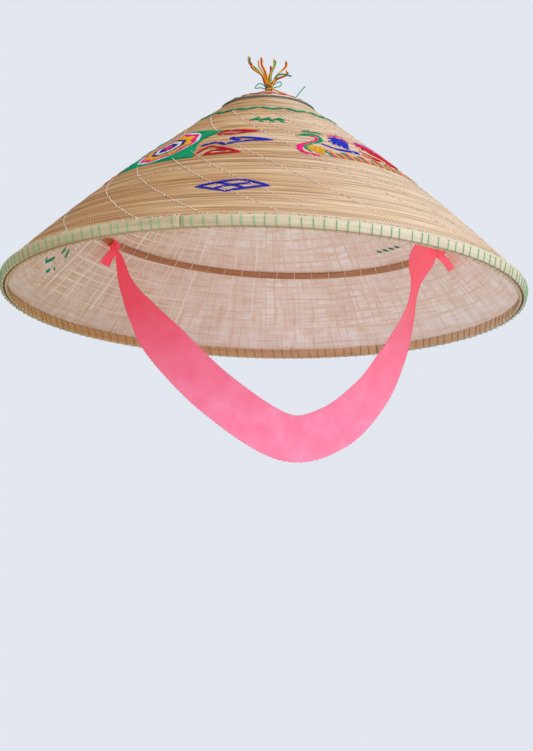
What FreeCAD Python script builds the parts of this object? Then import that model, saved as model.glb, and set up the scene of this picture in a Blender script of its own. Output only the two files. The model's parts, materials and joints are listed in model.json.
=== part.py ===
import FreeCAD, Part
import math
import os

Vec = FreeCAD.Vector

# A conical hat of woven bamboo with a laced rim, embroidery, a tassel and a chin ribbon.
# Millimetres and degrees. The origin is the centre of the plane that the rim rests on,
# +Z runs up the hat's axis, and the front faces -Y.
# A bearing is an angle round the hat: 0 at the front, 90 at +X.
# A slant is a length down the cone from its top edge.

# Driving dimensions
RIM_RADIUS = 185.0  # outside of the outer hoop at its lower edge
CONE_FOOT = (0.985, 0.0535)  # radius and height of the cone's outer face, as shares of RIM_RADIUS
CONE_WAIST = (0.600, 0.4160)
CONE_TOP = (0.172, 0.764)
GAP = 0.05  # free space between two pieces that lie against each other

# Skins
SHELL_THICKNESS = 0.7
LINING_THICKNESS = 0.5
SKIN_GAP = 0.15
CAP_THICKNESS = 1.0

# Rim
HOOP_HEIGHT = 7.0
INNER_HOOP_HEIGHT = 6.7
HOOP_THICKNESS = 1.5
HOOP_FLARE = 1.5  # how much wider the hoop is at its top than at its foot
HOOP_SLIT = 0.4
OUTER_HOOP_JOINT = -16.6
INNER_HOOP_JOINT = 150.0
CANE_HEIGHT = 1.8
LACING_THREAD = 0.5
LACING_WIDTH = 0.7
LACING_COUNT = 157

# Support hoop and its stitches
SUPPORT_RADIUS = 0.724 * RIM_RADIUS
SUPPORT_WIDTH = 5.0
SUPPORT_SHIFT = 3.4  # the hoop was sewn in this far off centre, towards +X
SUPPORT_THICKNESS = 1.6
SUPPORT_STITCH_COUNT = 60
SUPPORT_THREAD = 0.4
SUPPORT_STITCH_WIDTH = 0.6

# Thread laid on the outside of the cone
QUILT_LINES = 24
QUILT_TURN = 60.0  # degrees that a line turns over one rim radius of slant
QUILT_CURL = 10.0  # further turn in degrees, over a slant that grows e times longer
QUILT_FIRST = -14.3  # bearing where the first line starts
QUILT_START = 0.150 * RIM_RADIUS
QUILT_END = 1.035 * RIM_RADIUS
QUILT_DASH = 6.0
QUILT_PITCH = 11.5
DASH_THICKNESS = 0.3
DASH_WIDTH = 0.5
DASH_LIFT = 0.12
EMBROIDERY_LIFT = 0.5
EMBROIDERY_THICKNESS = 0.5

# Crown
CAP_RISE = 0.085 * RIM_RADIUS  # height of the cap's middle above its edge
CAP_OVERHANG = 0.8
CAP_CLEARANCE = 0.35
CAP_ROUNDING = 1.35  # 1 would be a straight cone, 2 a paraboloid
CAP_FLAT = 3.0  # radius of the small flat that the knot stands on
RING_TUBE = 1.2
CROWN_STITCH_COUNT = 20
CROWN_STITCH_LENGTH = 4.5
CROWN_STITCH_PLACE = 0.8  # radius of the ring of stitches, as a share of the cap's
KNOT_RADIUS = 3.2
STRAND_RADIUS = 0.38
STRANDS_PER_COLOUR = 6
TASSEL_HEIGHT = 20.0

# Embroidery
ZIGZAG_COUNT = 19
ZIGZAG_SLANT = 0.150 * RIM_RADIUS
ZIGZAG_DEPTH = 4.0
ZIGZAG_WIDTH = 1.3
FLOWERS = ((-41.8, 0.480), (138.2, 0.480))  # bearing, and slant as a share of RIM_RADIUS
BIRDS = ((37.0, 0.500), (217.0, 0.500))
BLUE_LATTICES = ((-8.0, 0.884), (172.0, 0.884))
GREEN_LATTICES = ((82.0, 0.884), (262.0, 0.884))
SPRIG = (0.0, 0.300)
SEAM = 0.3  # bare shell between two colours
FLOWER_RADIUS = 22.5
FLOWER_BUMP = 1.0
FLOWER_PETALS = 8
RING_RADIUS = 12.5
HEART_RADIUS = 5.0
STAR_TIPS = ((33.0, 20.0), (-24.0, 19.0), (-38.0, -21.0), (37.0, -23.0))
STAR_WAIST = 24.6
LEAF_THREAD = 1.3
BIRD_BARS = 16
BAR_PITCH = 5.2
BAR_WIDTH = 2.6
BAR_SLANT = 1.8  # how far a bar leans over its height
BAR_TOP = -18.0
BAR_HEIGHTS = (5.5, 8.0)
BAR_START = -46.0
LATTICE_HALF_WIDTH = 23.5
LATTICE_HALF_HEIGHT = 9.5
LATTICE_THREAD = 1.8
SPRIG_HALF_LENGTH = 9.0
SPRIG_STEM = 0.6  # half the width of the stem
SPRIG_LEAF = (6.5, 2.8)
SPRIG_LEAN = 55.0
SPRIG_PLACES = (-6.0, -0.5, 5.0)

# Chin ribbon
RIBBON_WIDTH = 35.0
RIBBON_THICKNESS = 0.8
RIBBON_GATHERED = 8.0  # width where the ribbon enters a knot
LEFT_KNOT_BEARING = 242.5
RIGHT_KNOT_BEARING = 105.0
RIBBON_KNOT_RADIUS = 4.2
HANG_LEAN = 14.5  # the ribbon hangs this far behind the hat's axis, as the hat sits tipped back when worn
TAIL_LENGTH = 15.0
TAIL_WIDTH = 12.0
TAIL_GAP = 1.2  # free space between a tail and its knot
LEFT_TAIL_DIP = 55.0
RIGHT_TAIL_DIP = 46.0

HOOP_FOOT = LACING_THREAD + GAP
HOOP_TOP = HOOP_FOOT + HOOP_HEIGHT
SKIN_DEPTH = SHELL_THICKNESS + SKIN_GAP + LINING_THICKNESS
SUPPORT_DEPTH = SKIN_DEPTH + 6 * GAP  # how far inside the cone's outer face the support hoop starts
RIM_DEPTH = 2 * HOOP_THICKNESS + 2 * GAP + SKIN_DEPTH
SKIRT_FOOT = HOOP_FOOT + CANE_HEIGHT + GAP
AXIS = Vec(0, 0, 1)
CENTRE = Vec(0, 0, 0)


def rim_share(share):
    """A point of the cone's outline from its shares of the rim radius."""
    return Vec(share[0] * RIM_RADIUS, 0, share[1] * RIM_RADIUS + HOOP_FOOT)


CONE_ARC = Part.Arc(rim_share(CONE_TOP), rim_share(CONE_WAIST), rim_share(CONE_FOOT)).toShape().Curve
ARC_CENTRE = CONE_ARC.Center
ARC_RADIUS = CONE_ARC.Radius
CROWN_RADIUS = CONE_TOP[0] * RIM_RADIUS
CAP_RADIUS = CROWN_RADIUS + CAP_OVERHANG


def height_at(radius, depth=0.0):
    """Height of the cone's face that lies depth inside its outer face, at a radius."""
    return ARC_CENTRE.z + math.sqrt((ARC_RADIUS - depth) ** 2 - (radius - ARC_CENTRE.x) ** 2)


def radius_at(height, depth=0.0):
    """Radius of the same face at a height."""
    return ARC_CENTRE.x + math.sqrt((ARC_RADIUS - depth) ** 2 - (height - ARC_CENTRE.z) ** 2)


def slope_angle(slant):
    """Angle of the outer face's normal above the horizontal, in radians."""
    top = math.asin((rim_share(CONE_TOP).z - ARC_CENTRE.z) / ARC_RADIUS)
    return top - slant / ARC_RADIUS


def slant_at(radius):
    """Slant of the point of the outer face at a radius."""
    return (slope_angle(0) - math.acos((radius - ARC_CENTRE.x) / ARC_RADIUS)) * ARC_RADIUS


def section_point(slant, depth):
    """Point in the section plane y = 0, depth inside the outer face."""
    angle = slope_angle(slant)
    reach = ARC_RADIUS - depth
    return Vec(ARC_CENTRE.x + reach * math.cos(angle), 0, ARC_CENTRE.z + reach * math.sin(angle))


def turned(vector, bearing):
    """A vector of the section plane y = 0, turned to a bearing."""
    return FreeCAD.Rotation(AXIS, bearing - 90).multVec(vector)


def cone_frame(bearing, slant, lift=0.0):
    """Point above the outer face, with the directions round the hat, up the slope and outwards."""
    angle = slope_angle(slant)
    point = turned(section_point(slant, -lift), bearing)
    outward = turned(Vec(math.cos(angle), 0, math.sin(angle)), bearing)
    along = turned(Vec(0, 1, 0), bearing)
    return point, along, outward.cross(along), outward


def placed(shape, origin, x_axis, y_axis, z_axis):
    """A copy of the shape whose own axes lie along the given directions at origin."""
    matrix = FreeCAD.Matrix(
        x_axis.x, y_axis.x, z_axis.x, origin.x,
        x_axis.y, y_axis.y, z_axis.y, origin.y,
        x_axis.z, y_axis.z, z_axis.z, origin.z,
        0, 0, 0, 1,
    )
    copy = shape.copy()
    copy.Placement = FreeCAD.Placement(matrix) * shape.Placement
    return copy


def polygon(points):
    return Part.Face(Part.makePolygon(list(points) + [points[0]]))


def ring_of(face):
    """The face of the section plane turned a full circle round the hat's axis."""
    return face.revolve(CENTRE, AXIS, 360)


def repeated(shape, count, first=0.0):
    """Copies of a shape of the section plane, spread evenly round the hat."""
    return [turned_shape(shape, first + 360.0 * i / count) for i in range(count)]


def turned_shape(shape, bearing):
    copy = shape.copy()
    copy.rotate(CENTRE, AXIS, bearing - 90)
    return copy


def across(points, width):
    """A solid with its outline in the section plane, as wide as given and centred on that plane."""
    solid = polygon(points).extrude(Vec(0, width, 0))
    solid.translate(Vec(0, -width / 2, 0))
    if solid.Volume < 0:
        solid.reverse()  # a clockwise outline gives a solid that is inside out
    return solid


def write(node, shapes):
    """Writes one node: a single solid, or a group of separate solids."""
    solids = shapes if isinstance(shapes, list) else [shapes]
    whole = solids[0] if len(solids) == 1 else Part.makeCompound(solids)
    whole.exportStep("parts/" + node + ".step")


# Rim band: lines parallel to the outer hoop's outer face


def band_point(depth, height):
    """Point at a height on the line that lies depth inside the outer hoop's outer face."""
    lean = HOOP_FLARE / HOOP_HEIGHT
    level_depth = depth * math.hypot(1, lean)
    return Vec(RIM_RADIUS + (height - HOOP_FOOT) * lean - level_depth, 0, height)


def band_corner(band_depth, skin_depth):
    """Where the rim band's line meets the face of the cone, found by halving."""
    low, high = HOOP_FOOT, HOOP_TOP + 3 * HOOP_THICKNESS
    for _ in range(50):
        middle = (low + high) / 2
        inside = band_point(band_depth, middle).x < radius_at(middle, skin_depth)
        low, high = (middle, high) if inside else (low, middle)
    return band_point(band_depth, low)


def skin(depth, thickness, band_depth):
    """A skin of the cone that turns down between the hoops at the rim."""
    edges = []
    corners = []
    for layer in (0, thickness):
        top = section_point(0, depth + layer)
        corner = band_corner(band_depth + layer, depth + layer)
        middle_slant = slant_at(corner.x) / 2
        edges.append(Part.Arc(top, section_point(middle_slant, depth + layer), corner).toShape())
        corners.append((top, corner, band_point(band_depth + layer, SKIRT_FOOT)))
    outer, inner = corners
    path = [outer[1], outer[2], inner[2], inner[1]]
    edges += [Part.makeLine(a, b) for a, b in zip(path, path[1:])]
    edges.append(Part.makeLine(inner[0], outer[0]))
    return ring_of(Part.Face(Part.Wire(Part.__sortEdges__(edges))))


def band(depth, thickness, foot, top):
    """A hoop of the rim with upright ends of its section along the band."""
    return ring_of(polygon([
        band_point(depth, foot),
        band_point(depth, top),
        band_point(depth + thickness, top),
        band_point(depth + thickness, foot),
    ]))


def split_hoop(hoop, bearing):
    """The hoop with the narrow slit where the two ends of its strip meet."""
    reach = RIM_RADIUS / 4
    cutter = Part.makeBox(reach, HOOP_SLIT, 4 * HOOP_HEIGHT, Vec(RIM_RADIUS - reach / 2, 0, -HOOP_HEIGHT))
    return hoop.cut(turned_shape(cutter, bearing))


def rim_stitch():
    """One turn of the lacing: down the outer hoop, under the rim and up the inner hoop to the skins."""
    out = -GAP - LACING_THREAD
    far = RIM_DEPTH + GAP + LACING_THREAD
    hook = HOOP_TOP + GAP
    hook_top = hook + LACING_THREAD
    inner_reach = radius_at(hook_top + GAP, SKIN_DEPTH) - 4 * GAP
    points = [
        band_point(out, 0),
        band_point(out, hook_top),
        band_point(HOOP_THICKNESS - 4 * GAP, hook_top),
        band_point(HOOP_THICKNESS - 4 * GAP, hook),
        band_point(-GAP, hook),
        band_point(-GAP, LACING_THREAD),
        band_point(RIM_DEPTH + GAP, LACING_THREAD),
        band_point(RIM_DEPTH + GAP, hook),
        Vec(inner_reach, 0, hook),
        Vec(inner_reach, 0, hook_top),
        band_point(far, hook_top),
        band_point(far, 0),
    ]
    return across(points, LACING_WIDTH)


def make_rim():
    hoop = band(0, HOOP_THICKNESS, HOOP_FOOT, HOOP_TOP)
    inner_depth = RIM_DEPTH - HOOP_THICKNESS
    inner_hoop = band(inner_depth, HOOP_THICKNESS, HOOP_FOOT, HOOP_FOOT + INNER_HOOP_HEIGHT)
    cane = band(HOOP_THICKNESS + GAP, SKIN_DEPTH, HOOP_FOOT, HOOP_FOOT + CANE_HEIGHT)
    write("rim_hoop_outer", split_hoop(hoop, OUTER_HOOP_JOINT))
    write("rim_hoop_inner", split_hoop(inner_hoop, INNER_HOOP_JOINT))
    write("rim_edge_cane", cane)
    write("rim_lacing", repeated(rim_stitch(), LACING_COUNT))


# Cone, support hoop and crown

def make_cone():
    band_depth = HOOP_THICKNESS + GAP
    lining_depth = SHELL_THICKNESS + SKIN_GAP
    write("outer_shell", skin(0, SHELL_THICKNESS, band_depth))
    write("inner_lining", skin(lining_depth, LINING_THICKNESS, band_depth + lining_depth))


def slope_box(slant, half_width, depth, thickness):
    """Four corners of a strip that lies along the slope, in the section plane."""
    return [
        section_point(slant - half_width, depth),
        section_point(slant + half_width, depth),
        section_point(slant + half_width, depth + thickness),
        section_point(slant - half_width, depth + thickness),
    ]


def support_wrap(thickness, width):
    """A loop over the support hoop, in the section plane, ending at the lining."""
    slant = slant_at(SUPPORT_RADIUS)
    near = SUPPORT_DEPTH
    far = near + SUPPORT_THICKNESS + 2 * GAP
    inner = SUPPORT_WIDTH / 2 + 2 * GAP
    outer = inner + thickness
    outline = [
        (-outer, near), (-outer, far + thickness), (outer, far + thickness), (outer, near),
        (inner, near), (inner, far), (-inner, far), (-inner, near),
    ]
    return across([section_point(slant + s, d) for s, d in outline], width)


def shifted(shape):
    """The shape moved with the support hoop, which tilts as its centre shifts because it lies on the cone."""
    slant = slant_at(SUPPORT_RADIUS)
    drop = SUPPORT_SHIFT / math.tan(slope_angle(slant))
    copy = shape.copy()
    copy.rotate(section_centre(slant), Vec(0, 1, 0), math.degrees(math.atan2(drop, SUPPORT_RADIUS)))
    copy.translate(Vec(SUPPORT_SHIFT, 0, 0))
    return copy


def section_centre(slant):
    """Point of the hat's axis level with a slant."""
    return Vec(0, 0, section_point(slant, 0).z)


def dash(bearing, slant, heading, length):
    """A straight stitch on the outer face. Heading turns from round the hat to down the slope."""
    origin, along, up, outward = cone_frame(bearing, slant, DASH_LIFT)
    angle = math.radians(heading)
    ahead = along * math.cos(angle) - up * math.sin(angle)
    side = outward.cross(ahead)
    box = Part.makeBox(length, DASH_WIDTH, DASH_THICKNESS, Vec(-length / 2, -DASH_WIDTH / 2, 0))
    return placed(box, origin, ahead, side, outward)


def make_support():
    slant = slant_at(SUPPORT_RADIUS)
    hoop = ring_of(polygon(slope_box(slant, SUPPORT_WIDTH / 2, SUPPORT_DEPTH, SUPPORT_THICKNESS)))
    write("support_hoop", shifted(hoop))
    step = 360.0 / SUPPORT_STITCH_COUNT
    wrap = support_wrap(SUPPORT_THREAD, SUPPORT_STITCH_WIDTH)
    inside = repeated(wrap, SUPPORT_STITCH_COUNT, step / 2)
    kept = [shifted(s) for i, s in enumerate(inside) if not near_knot(step * (i + 0.5))]
    outside = [dash(step * i, slant, 0, SUPPORT_WIDTH) for i in range(SUPPORT_STITCH_COUNT)]
    write("support_hoop_stitches", kept + outside)


def near_knot(bearing):
    """True where a ribbon knot takes the place of a stitch."""
    reach = math.degrees(1.5 * RIBBON_KNOT_RADIUS / SUPPORT_RADIUS)
    return any(abs(bearing - knot) < reach for knot in (LEFT_KNOT_BEARING, RIGHT_KNOT_BEARING))


def make_quilting():
    """Running stitches in spiral lines down the cone."""
    clear = SUPPORT_WIDTH
    dashes = []
    for line in range(QUILT_LINES):
        bearing = QUILT_FIRST + 360.0 * line / QUILT_LINES
        slant = QUILT_START
        while slant < QUILT_END:
            radius = section_point(slant, 0).x
            rate = QUILT_TURN / RIM_RADIUS + QUILT_CURL / slant
            turn = math.radians(rate) * radius
            heading = math.degrees(math.atan2(1, turn))
            if abs(slant - slant_at(SUPPORT_RADIUS)) > clear:
                dashes.append(dash(bearing, slant, heading, QUILT_DASH))
            step = QUILT_PITCH / math.hypot(1, turn)
            slant += step
            bearing += rate * step
    write("spiral_stitches", dashes)


def cap_height(radius):
    """Height of the cap's underside at a radius. The cap rounds from its edge up to the apex."""
    edge = height_at(CROWN_RADIUS) + CAP_CLEARANCE
    share = radius / CAP_RADIUS
    return edge + CAP_RISE * (1 - share ** CAP_ROUNDING)


def make_crown():
    slope = math.atan2(cap_height(CAP_RADIUS / 2) - cap_height(CAP_RADIUS), CAP_RADIUS / 2)
    under = [Vec(r, 0, cap_height(r)) for r in (CAP_RADIUS, CAP_RADIUS * 0.6, CAP_FLAT)]
    over = [Vec(p.x, 0, p.z + CAP_THICKNESS) for p in under]
    edges = [
        Part.Arc(*under).toShape(),
        Part.makeLine(under[2], Vec(0, 0, under[2].z)),
        Part.makeLine(Vec(0, 0, under[2].z), Vec(0, 0, over[2].z)),
        Part.makeLine(Vec(0, 0, over[2].z), over[2]),
        Part.Arc(*reversed(over)).toShape(),
        Part.makeLine(over[0], under[0]),
    ]
    write("crown_cap", ring_of(Part.Face(Part.Wire(Part.__sortEdges__(edges)))))

    ring_radius = CAP_RADIUS + RING_TUBE + GAP
    normal_angle = slope_angle(0)
    ring_height = height_at(ring_radius) + (RING_TUBE + GAP) / math.sin(normal_angle)
    write("crown_ring", Part.makeTorus(ring_radius, RING_TUBE, Vec(0, 0, ring_height)))

    stitch_radius = CAP_RADIUS * CROWN_STITCH_PLACE
    box = Part.makeBox(CROWN_STITCH_LENGTH, 2 * DASH_WIDTH, DASH_THICKNESS)
    box.translate(Vec(-CROWN_STITCH_LENGTH / 2, -DASH_WIDTH, 0))
    lift = CAP_THICKNESS + 3 * DASH_THICKNESS
    outward = Vec(math.sin(slope), 0, math.cos(slope))
    origin = Vec(stitch_radius, 0, cap_height(stitch_radius) + lift)
    stitch = placed(box, origin, Vec(0, 1, 0), outward.cross(Vec(0, 1, 0)), outward)
    write("crown_stitches", repeated(stitch, CROWN_STITCH_COUNT))


# Tassel

def tassel_centre():
    return Vec(0, 0, cap_height(CAP_FLAT) + CAP_THICKNESS + 2 * GAP + KNOT_RADIUS)


def strand(bearing, reach, height):
    """One loose thread that leaves the knot's top and bends outwards."""
    centre = tassel_centre()
    foot = Vec(KNOT_RADIUS * 0.95, 0, centre.z + KNOT_RADIUS * 0.75)
    middle = foot + Vec(reach * 0.25, 0, height * 0.55)
    tip = foot + Vec(reach, 0, height)
    path = Part.BSplineCurve()
    path.interpolate([foot, middle, tip])
    start = path.tangent(path.FirstParameter)[0]
    section = Part.Wire(Part.makeCircle(STRAND_RADIUS, foot, start))
    tube = Part.Wire(path.toShape()).makePipeShell([section], True, True)
    return turned_shape(tube, bearing)


def make_tassel():
    write("tassel_knot", Part.makeSphere(KNOT_RADIUS, tassel_centre()))
    total = 3 * STRANDS_PER_COLOUR
    room = TASSEL_HEIGHT - 1.75 * KNOT_RADIUS
    for colour, name in enumerate(("tassel_yellow", "tassel_red", "tassel_green")):
        strands = []
        for i in range(STRANDS_PER_COLOUR):
            place = 3 * i + colour
            height = room * (0.70 + 0.30 * math.cos(2.4 * place) ** 2)
            reach = room * (0.35 + 0.45 * math.sin(1.7 * place) ** 2)
            strands.append(strand(360.0 * place / total, reach, height))
        write(name, strands)


# Embroidery: patches cut from a thin layer that lies over the cone

def thread_layer():
    """The thin layer above the outer face that all embroidery is cut from."""
    near, far = -EMBROIDERY_LIFT, -EMBROIDERY_LIFT - EMBROIDERY_THICKNESS
    start, end = 0.1 * RIM_RADIUS, 1.0 * RIM_RADIUS
    middle = (start + end) / 2
    places = ((start, near), (end, near), (end, far), (start, far))
    corners = [section_point(slant, depth) for slant, depth in places]
    edges = [
        Part.Arc(corners[0], section_point(middle, near), corners[1]).toShape(),
        Part.makeLine(corners[1], corners[2]),
        Part.Arc(corners[2], section_point(middle, far), corners[3]).toShape(),
        Part.makeLine(corners[3], corners[0]),
    ]
    return ring_of(Part.Face(Part.Wire(Part.__sortEdges__(edges))))


def patch(layer, place, face):
    """The part of the layer under a flat face, whose x runs round the hat and y up the slope from place."""
    bearing, share = place
    origin, along, up, outward = cone_frame(bearing, share * RIM_RADIUS)
    reach = 0.15 * RIM_RADIUS
    prism = face.extrude(Vec(0, 0, 2 * reach))
    prism.translate(Vec(0, 0, -reach))
    solids = layer.common(placed(prism, origin, along, up, outward)).Solids
    return [s for s in solids if s.Volume > EMBROIDERY_THICKNESS]


def patches(layer, places, faces):
    return [solid for place in places for face in faces for solid in patch(layer, place, face)]


def flat(points):
    """A flat face with straight sides."""
    return polygon([Vec(x, y, 0) for x, y in points])


def smooth(points):
    """A flat face inside a closed smooth curve through the points."""
    curve = Part.BSplineCurve()
    curve.interpolate([Vec(x, y, 0) for x, y in points], PeriodicFlag=True)
    return Part.Face(Part.Wire(curve.toShape()))


def disc(radius):
    return Part.Face(Part.Wire(Part.makeCircle(radius)))


def leaf(length, width):
    """A pointed leaf of two arcs, from the origin along +x."""
    foot, tip = Vec(0, 0, 0), Vec(length, 0, 0)
    sides = [Part.Arc(foot, Vec(length / 2, side * width / 2, 0), tip).toShape() for side in (1, -1)]
    return Part.Face(Part.Wire(Part.__sortEdges__(sides)))


def leaf_outline(length, width, thread):
    """The same leaf with its middle left open."""
    inner = leaf(length - 4 * thread, width - 2 * thread)
    inner.translate(Vec(2 * thread, 0, 0))
    return leaf(length, width).cut(inner)


def moved(face, x, y, angle):
    copy = face.copy()
    copy.rotate(CENTRE, AXIS, angle)
    copy.translate(Vec(x, y, 0))
    return copy


def rosette(radius, bump, petals):
    """A round outline with petals waves."""
    count = 4 * petals
    turn = 2 * math.pi / count
    points = []
    for i in range(count):
        reach = radius + bump * math.cos(petals * turn * i)
        points.append((reach * math.cos(turn * i), reach * math.sin(turn * i)))
    return smooth(points)


def make_flowers(layer):
    """A round flower on a four-pointed ground."""
    star = []
    for i, tip in enumerate(STAR_TIPS):
        between = math.radians(90 * (i + 1))
        star += [tip, (STAR_WAIST * math.cos(between), STAR_WAIST * math.sin(between))]
    ground = flat(star).cut(rosette(FLOWER_RADIUS + SEAM, FLOWER_BUMP, FLOWER_PETALS))
    petals = rosette(FLOWER_RADIUS - SEAM, FLOWER_BUMP, FLOWER_PETALS).cut(disc(RING_RADIUS + SEAM))
    ring = disc(RING_RADIUS - SEAM).cut(disc(HEART_RADIUS + SEAM))
    write("flower_ground", patches(layer, FLOWERS, [ground]))
    write("flower_petals", patches(layer, FLOWERS, [petals]))
    write("flower_ring", patches(layer, FLOWERS, [ring]))
    write("flower_heart", patches(layer, FLOWERS, [disc(HEART_RADIUS - SEAM)]))


def make_leaves(layer):
    """Outlined leaves beside each flower."""
    outline = leaf_outline(26, 11, LEAF_THREAD)
    red = [moved(outline, 35, 12, 4), moved(outline, 39, -19, -6)]
    blue = [moved(leaf_outline(30, 9, LEAF_THREAD), 36, -3, 0)]
    write("leaf_outlines_red", patches(layer, FLOWERS, red))
    write("leaf_outlines_blue", patches(layer, FLOWERS, blue))


def ground_bars():
    """The row of short slanting bars that a bird stands on."""
    bars = []
    for i in range(BIRD_BARS):
        left = BAR_START + BAR_PITCH * i
        foot = BAR_TOP - BAR_HEIGHTS[i % 2]
        right = left + BAR_WIDTH
        upper = [(left, BAR_TOP), (right, BAR_TOP)]
        bars.append(flat(upper + [(right + BAR_SLANT, foot), (left + BAR_SLANT, foot)]))
    return bars


def make_birds(layer):
    head = [(-47, 8), (-41, 13), (-34, 12), (-31, 5), (-37, -4), (-43, -11), (-48, -8), (-40, 1), (-42, 5)]
    breast = [(-36, -5), (-29, -2), (-24, -8), (-29, -15), (-37, -14)]
    wing = [(-29, 3), (-24, 14), (-14, 17), (-7, 13), (-10, 6), (-17, 1)]
    body = [(-17, -3), (-3, 4), (12, 13), (30, 16), (40, 6), (30, -4), (14, -8), (-4, -9)]
    write("bird_neck", patches(layer, BIRDS, [smooth(head)]))
    write("bird_breast", patches(layer, BIRDS, [smooth(breast)]))
    write("bird_wing", patches(layer, BIRDS, [smooth(wing)]))
    write("bird_body", patches(layer, BIRDS, [smooth(body)]))
    write("bird_ground_bars", patches(layer, BIRDS, ground_bars()))


def rhombus(half_width, half_height, x=0.0, y=0.0):
    corners = ((half_width, 0), (0, half_height), (-half_width, 0), (0, -half_height))
    return flat([(x + a, y + b) for a, b in corners])


def lattice_face():
    """A diamond divided into four smaller ones by threads."""
    face = rhombus(LATTICE_HALF_WIDTH, LATTICE_HALF_HEIGHT)
    share = 0.5 - LATTICE_THREAD / (2 * LATTICE_HALF_HEIGHT)
    small = (LATTICE_HALF_WIDTH * share, LATTICE_HALF_HEIGHT * share)
    for x, y in ((0.5, 0), (-0.5, 0), (0, 0.5), (0, -0.5)):
        face = face.cut(rhombus(*small, x * LATTICE_HALF_WIDTH * 0.94, y * LATTICE_HALF_HEIGHT * 0.94))
    return face


def make_small_motifs(layer):
    write("lattice_diamonds_blue", patches(layer, BLUE_LATTICES, [lattice_face()]))
    write("lattice_diamonds_green", patches(layer, GREEN_LATTICES, [lattice_face()]))
    corners = ((-1, -1), (1, -1), (1, 1), (-1, 1))
    stem = flat([(SPRIG_HALF_LENGTH * x, SPRIG_STEM * y) for x, y in corners])
    leaves = []
    for x in SPRIG_PLACES:
        for side in (1, -1):
            leaves.append(moved(leaf(*SPRIG_LEAF), x, side * (SPRIG_STEM + SEAM), side * SPRIG_LEAN))
    write("front_sprig", patches(layer, [SPRIG], [stem] + leaves))


def make_zigzag(layer):
    """The green zigzag that runs round below the crown."""
    radius = section_point(ZIGZAG_SLANT, 0).x
    half = math.pi * radius / (2 * ZIGZAG_COUNT)
    side = ZIGZAG_WIDTH / 2
    rise = ZIGZAG_DEPTH / 2
    bars = []
    for i in range(2 * ZIGZAG_COUNT):
        start, end = (-rise, rise) if i % 2 else (rise, -rise)
        reach = half - SEAM
        lower = [(-reach, start - side), (reach, end - side)]
        bar = flat(lower + [(reach, end + side), (-reach, start + side)])
        place = (180.0 * (i + 0.5) / ZIGZAG_COUNT, ZIGZAG_SLANT / RIM_RADIUS)
        bars += patch(layer, place, bar)
    write("zigzag_border", bars)


# Chin ribbon

def knot_point():
    """Centre of a knot in the section plane."""
    depth = SUPPORT_DEPTH + SUPPORT_THICKNESS + 4 * GAP + RIBBON_KNOT_RADIUS
    return section_point(slant_at(SUPPORT_RADIUS), depth)


def knot_centre(bearing):
    return shifted(turned_shape(Part.Vertex(knot_point()), bearing)).Point


LEFT_KNOT = knot_centre(LEFT_KNOT_BEARING)
RIGHT_KNOT = knot_centre(RIGHT_KNOT_BEARING)
HANG = Vec(0, math.sin(math.radians(HANG_LEAN)), -math.cos(math.radians(HANG_LEAN)))


def hang_plane_normal():
    """Normal of the plane through both knots along which the ribbon hangs, pointing backwards."""
    return HANG.cross(RIGHT_KNOT - LEFT_KNOT).normalize() * -1


def ribbon_point(across, drop):
    """Point of the hanging plane: a share of the way from the left knot, and a drop below that line."""
    return LEFT_KNOT + (RIGHT_KNOT - LEFT_KNOT) * across + HANG * drop


def ribbon_sections():
    """Stations along the ribbon: its path, the width there and its twist out of the hanging plane."""
    clear = RIBBON_KNOT_RADIUS + 1.0
    full = RIBBON_WIDTH
    return [
        (0.000, clear, RIBBON_GATHERED, 85),
        (0.022, 18, 17, 62),
        (0.070, 42, 31, 30),
        (0.165, 70, full, 12),
        (0.330, 108, full, 3),
        (0.540, 138, full, 0),
        (0.688, 131, full, 14),
        (0.818, 104, full, 36),
        (0.896, 75, 32, 56),
        (0.932, 48, 26, 74),
        (0.963, 24, 19, 70),
        (1.000, clear, RIBBON_GATHERED, 80),
    ]


def ribbon_loop():
    """The ribbon lofted through thin rectangles along its path."""
    stations = ribbon_sections()
    path = [ribbon_point(across, drop) for across, drop, _, _ in stations]
    normal = hang_plane_normal()
    wires = []
    for i, (_, _, width, twist) in enumerate(stations):
        before, after = path[max(i - 1, 0)], path[min(i + 1, len(path) - 1)]
        ahead = (after - before).normalize()
        side = FreeCAD.Rotation(ahead, twist).multVec(normal.cross(ahead))
        face_normal = ahead.cross(side)
        half = side * (width / 2)
        thick = face_normal * (RIBBON_THICKNESS / 2)
        offsets = (half + thick, half - thick, thick * -1 - half, thick - half)
        corners = [path[i] + offset for offset in offsets]
        wires.append(Part.makePolygon(corners + [corners[0]]))
    return Part.makeLoft(wires, True, False)


def ribbon_knot(bearing):
    """A round knot with the turn of ribbon that holds it to the support hoop, which stops at the lining."""
    wrap = support_wrap(RIBBON_THICKNESS, 1.4 * RIBBON_KNOT_RADIUS)
    ball = Part.makeSphere(RIBBON_KNOT_RADIUS, knot_point())
    ball.rotate(knot_point(), AXIS, 180)  # the sphere's seam goes to the side away from the hoop
    return shifted(turned_shape(wrap.fuse(ball), bearing))


def ribbon_tail(bearing, dip):
    """A short free end of the ribbon, which points outwards from the knot, dip degrees below level."""
    centre = knot_point()
    angle = math.radians(dip)
    down = Vec(math.cos(angle), 0, -math.sin(angle))
    start = centre + down * (RIBBON_KNOT_RADIUS + TAIL_GAP)
    facing = down.cross(Vec(0, 1, 0))
    foot, tip = RIBBON_GATHERED / 2, TAIL_WIDTH / 2
    outline = [(0, -foot), (TAIL_LENGTH, -tip), (TAIL_LENGTH, tip), (0, foot)]
    points = [start + down * x + Vec(0, y, 0) for x, y in outline]
    strip = polygon(points).extrude(facing * RIBBON_THICKNESS)
    strip.translate(facing * (-RIBBON_THICKNESS / 2))
    return shifted(turned_shape(strip, bearing))


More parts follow.
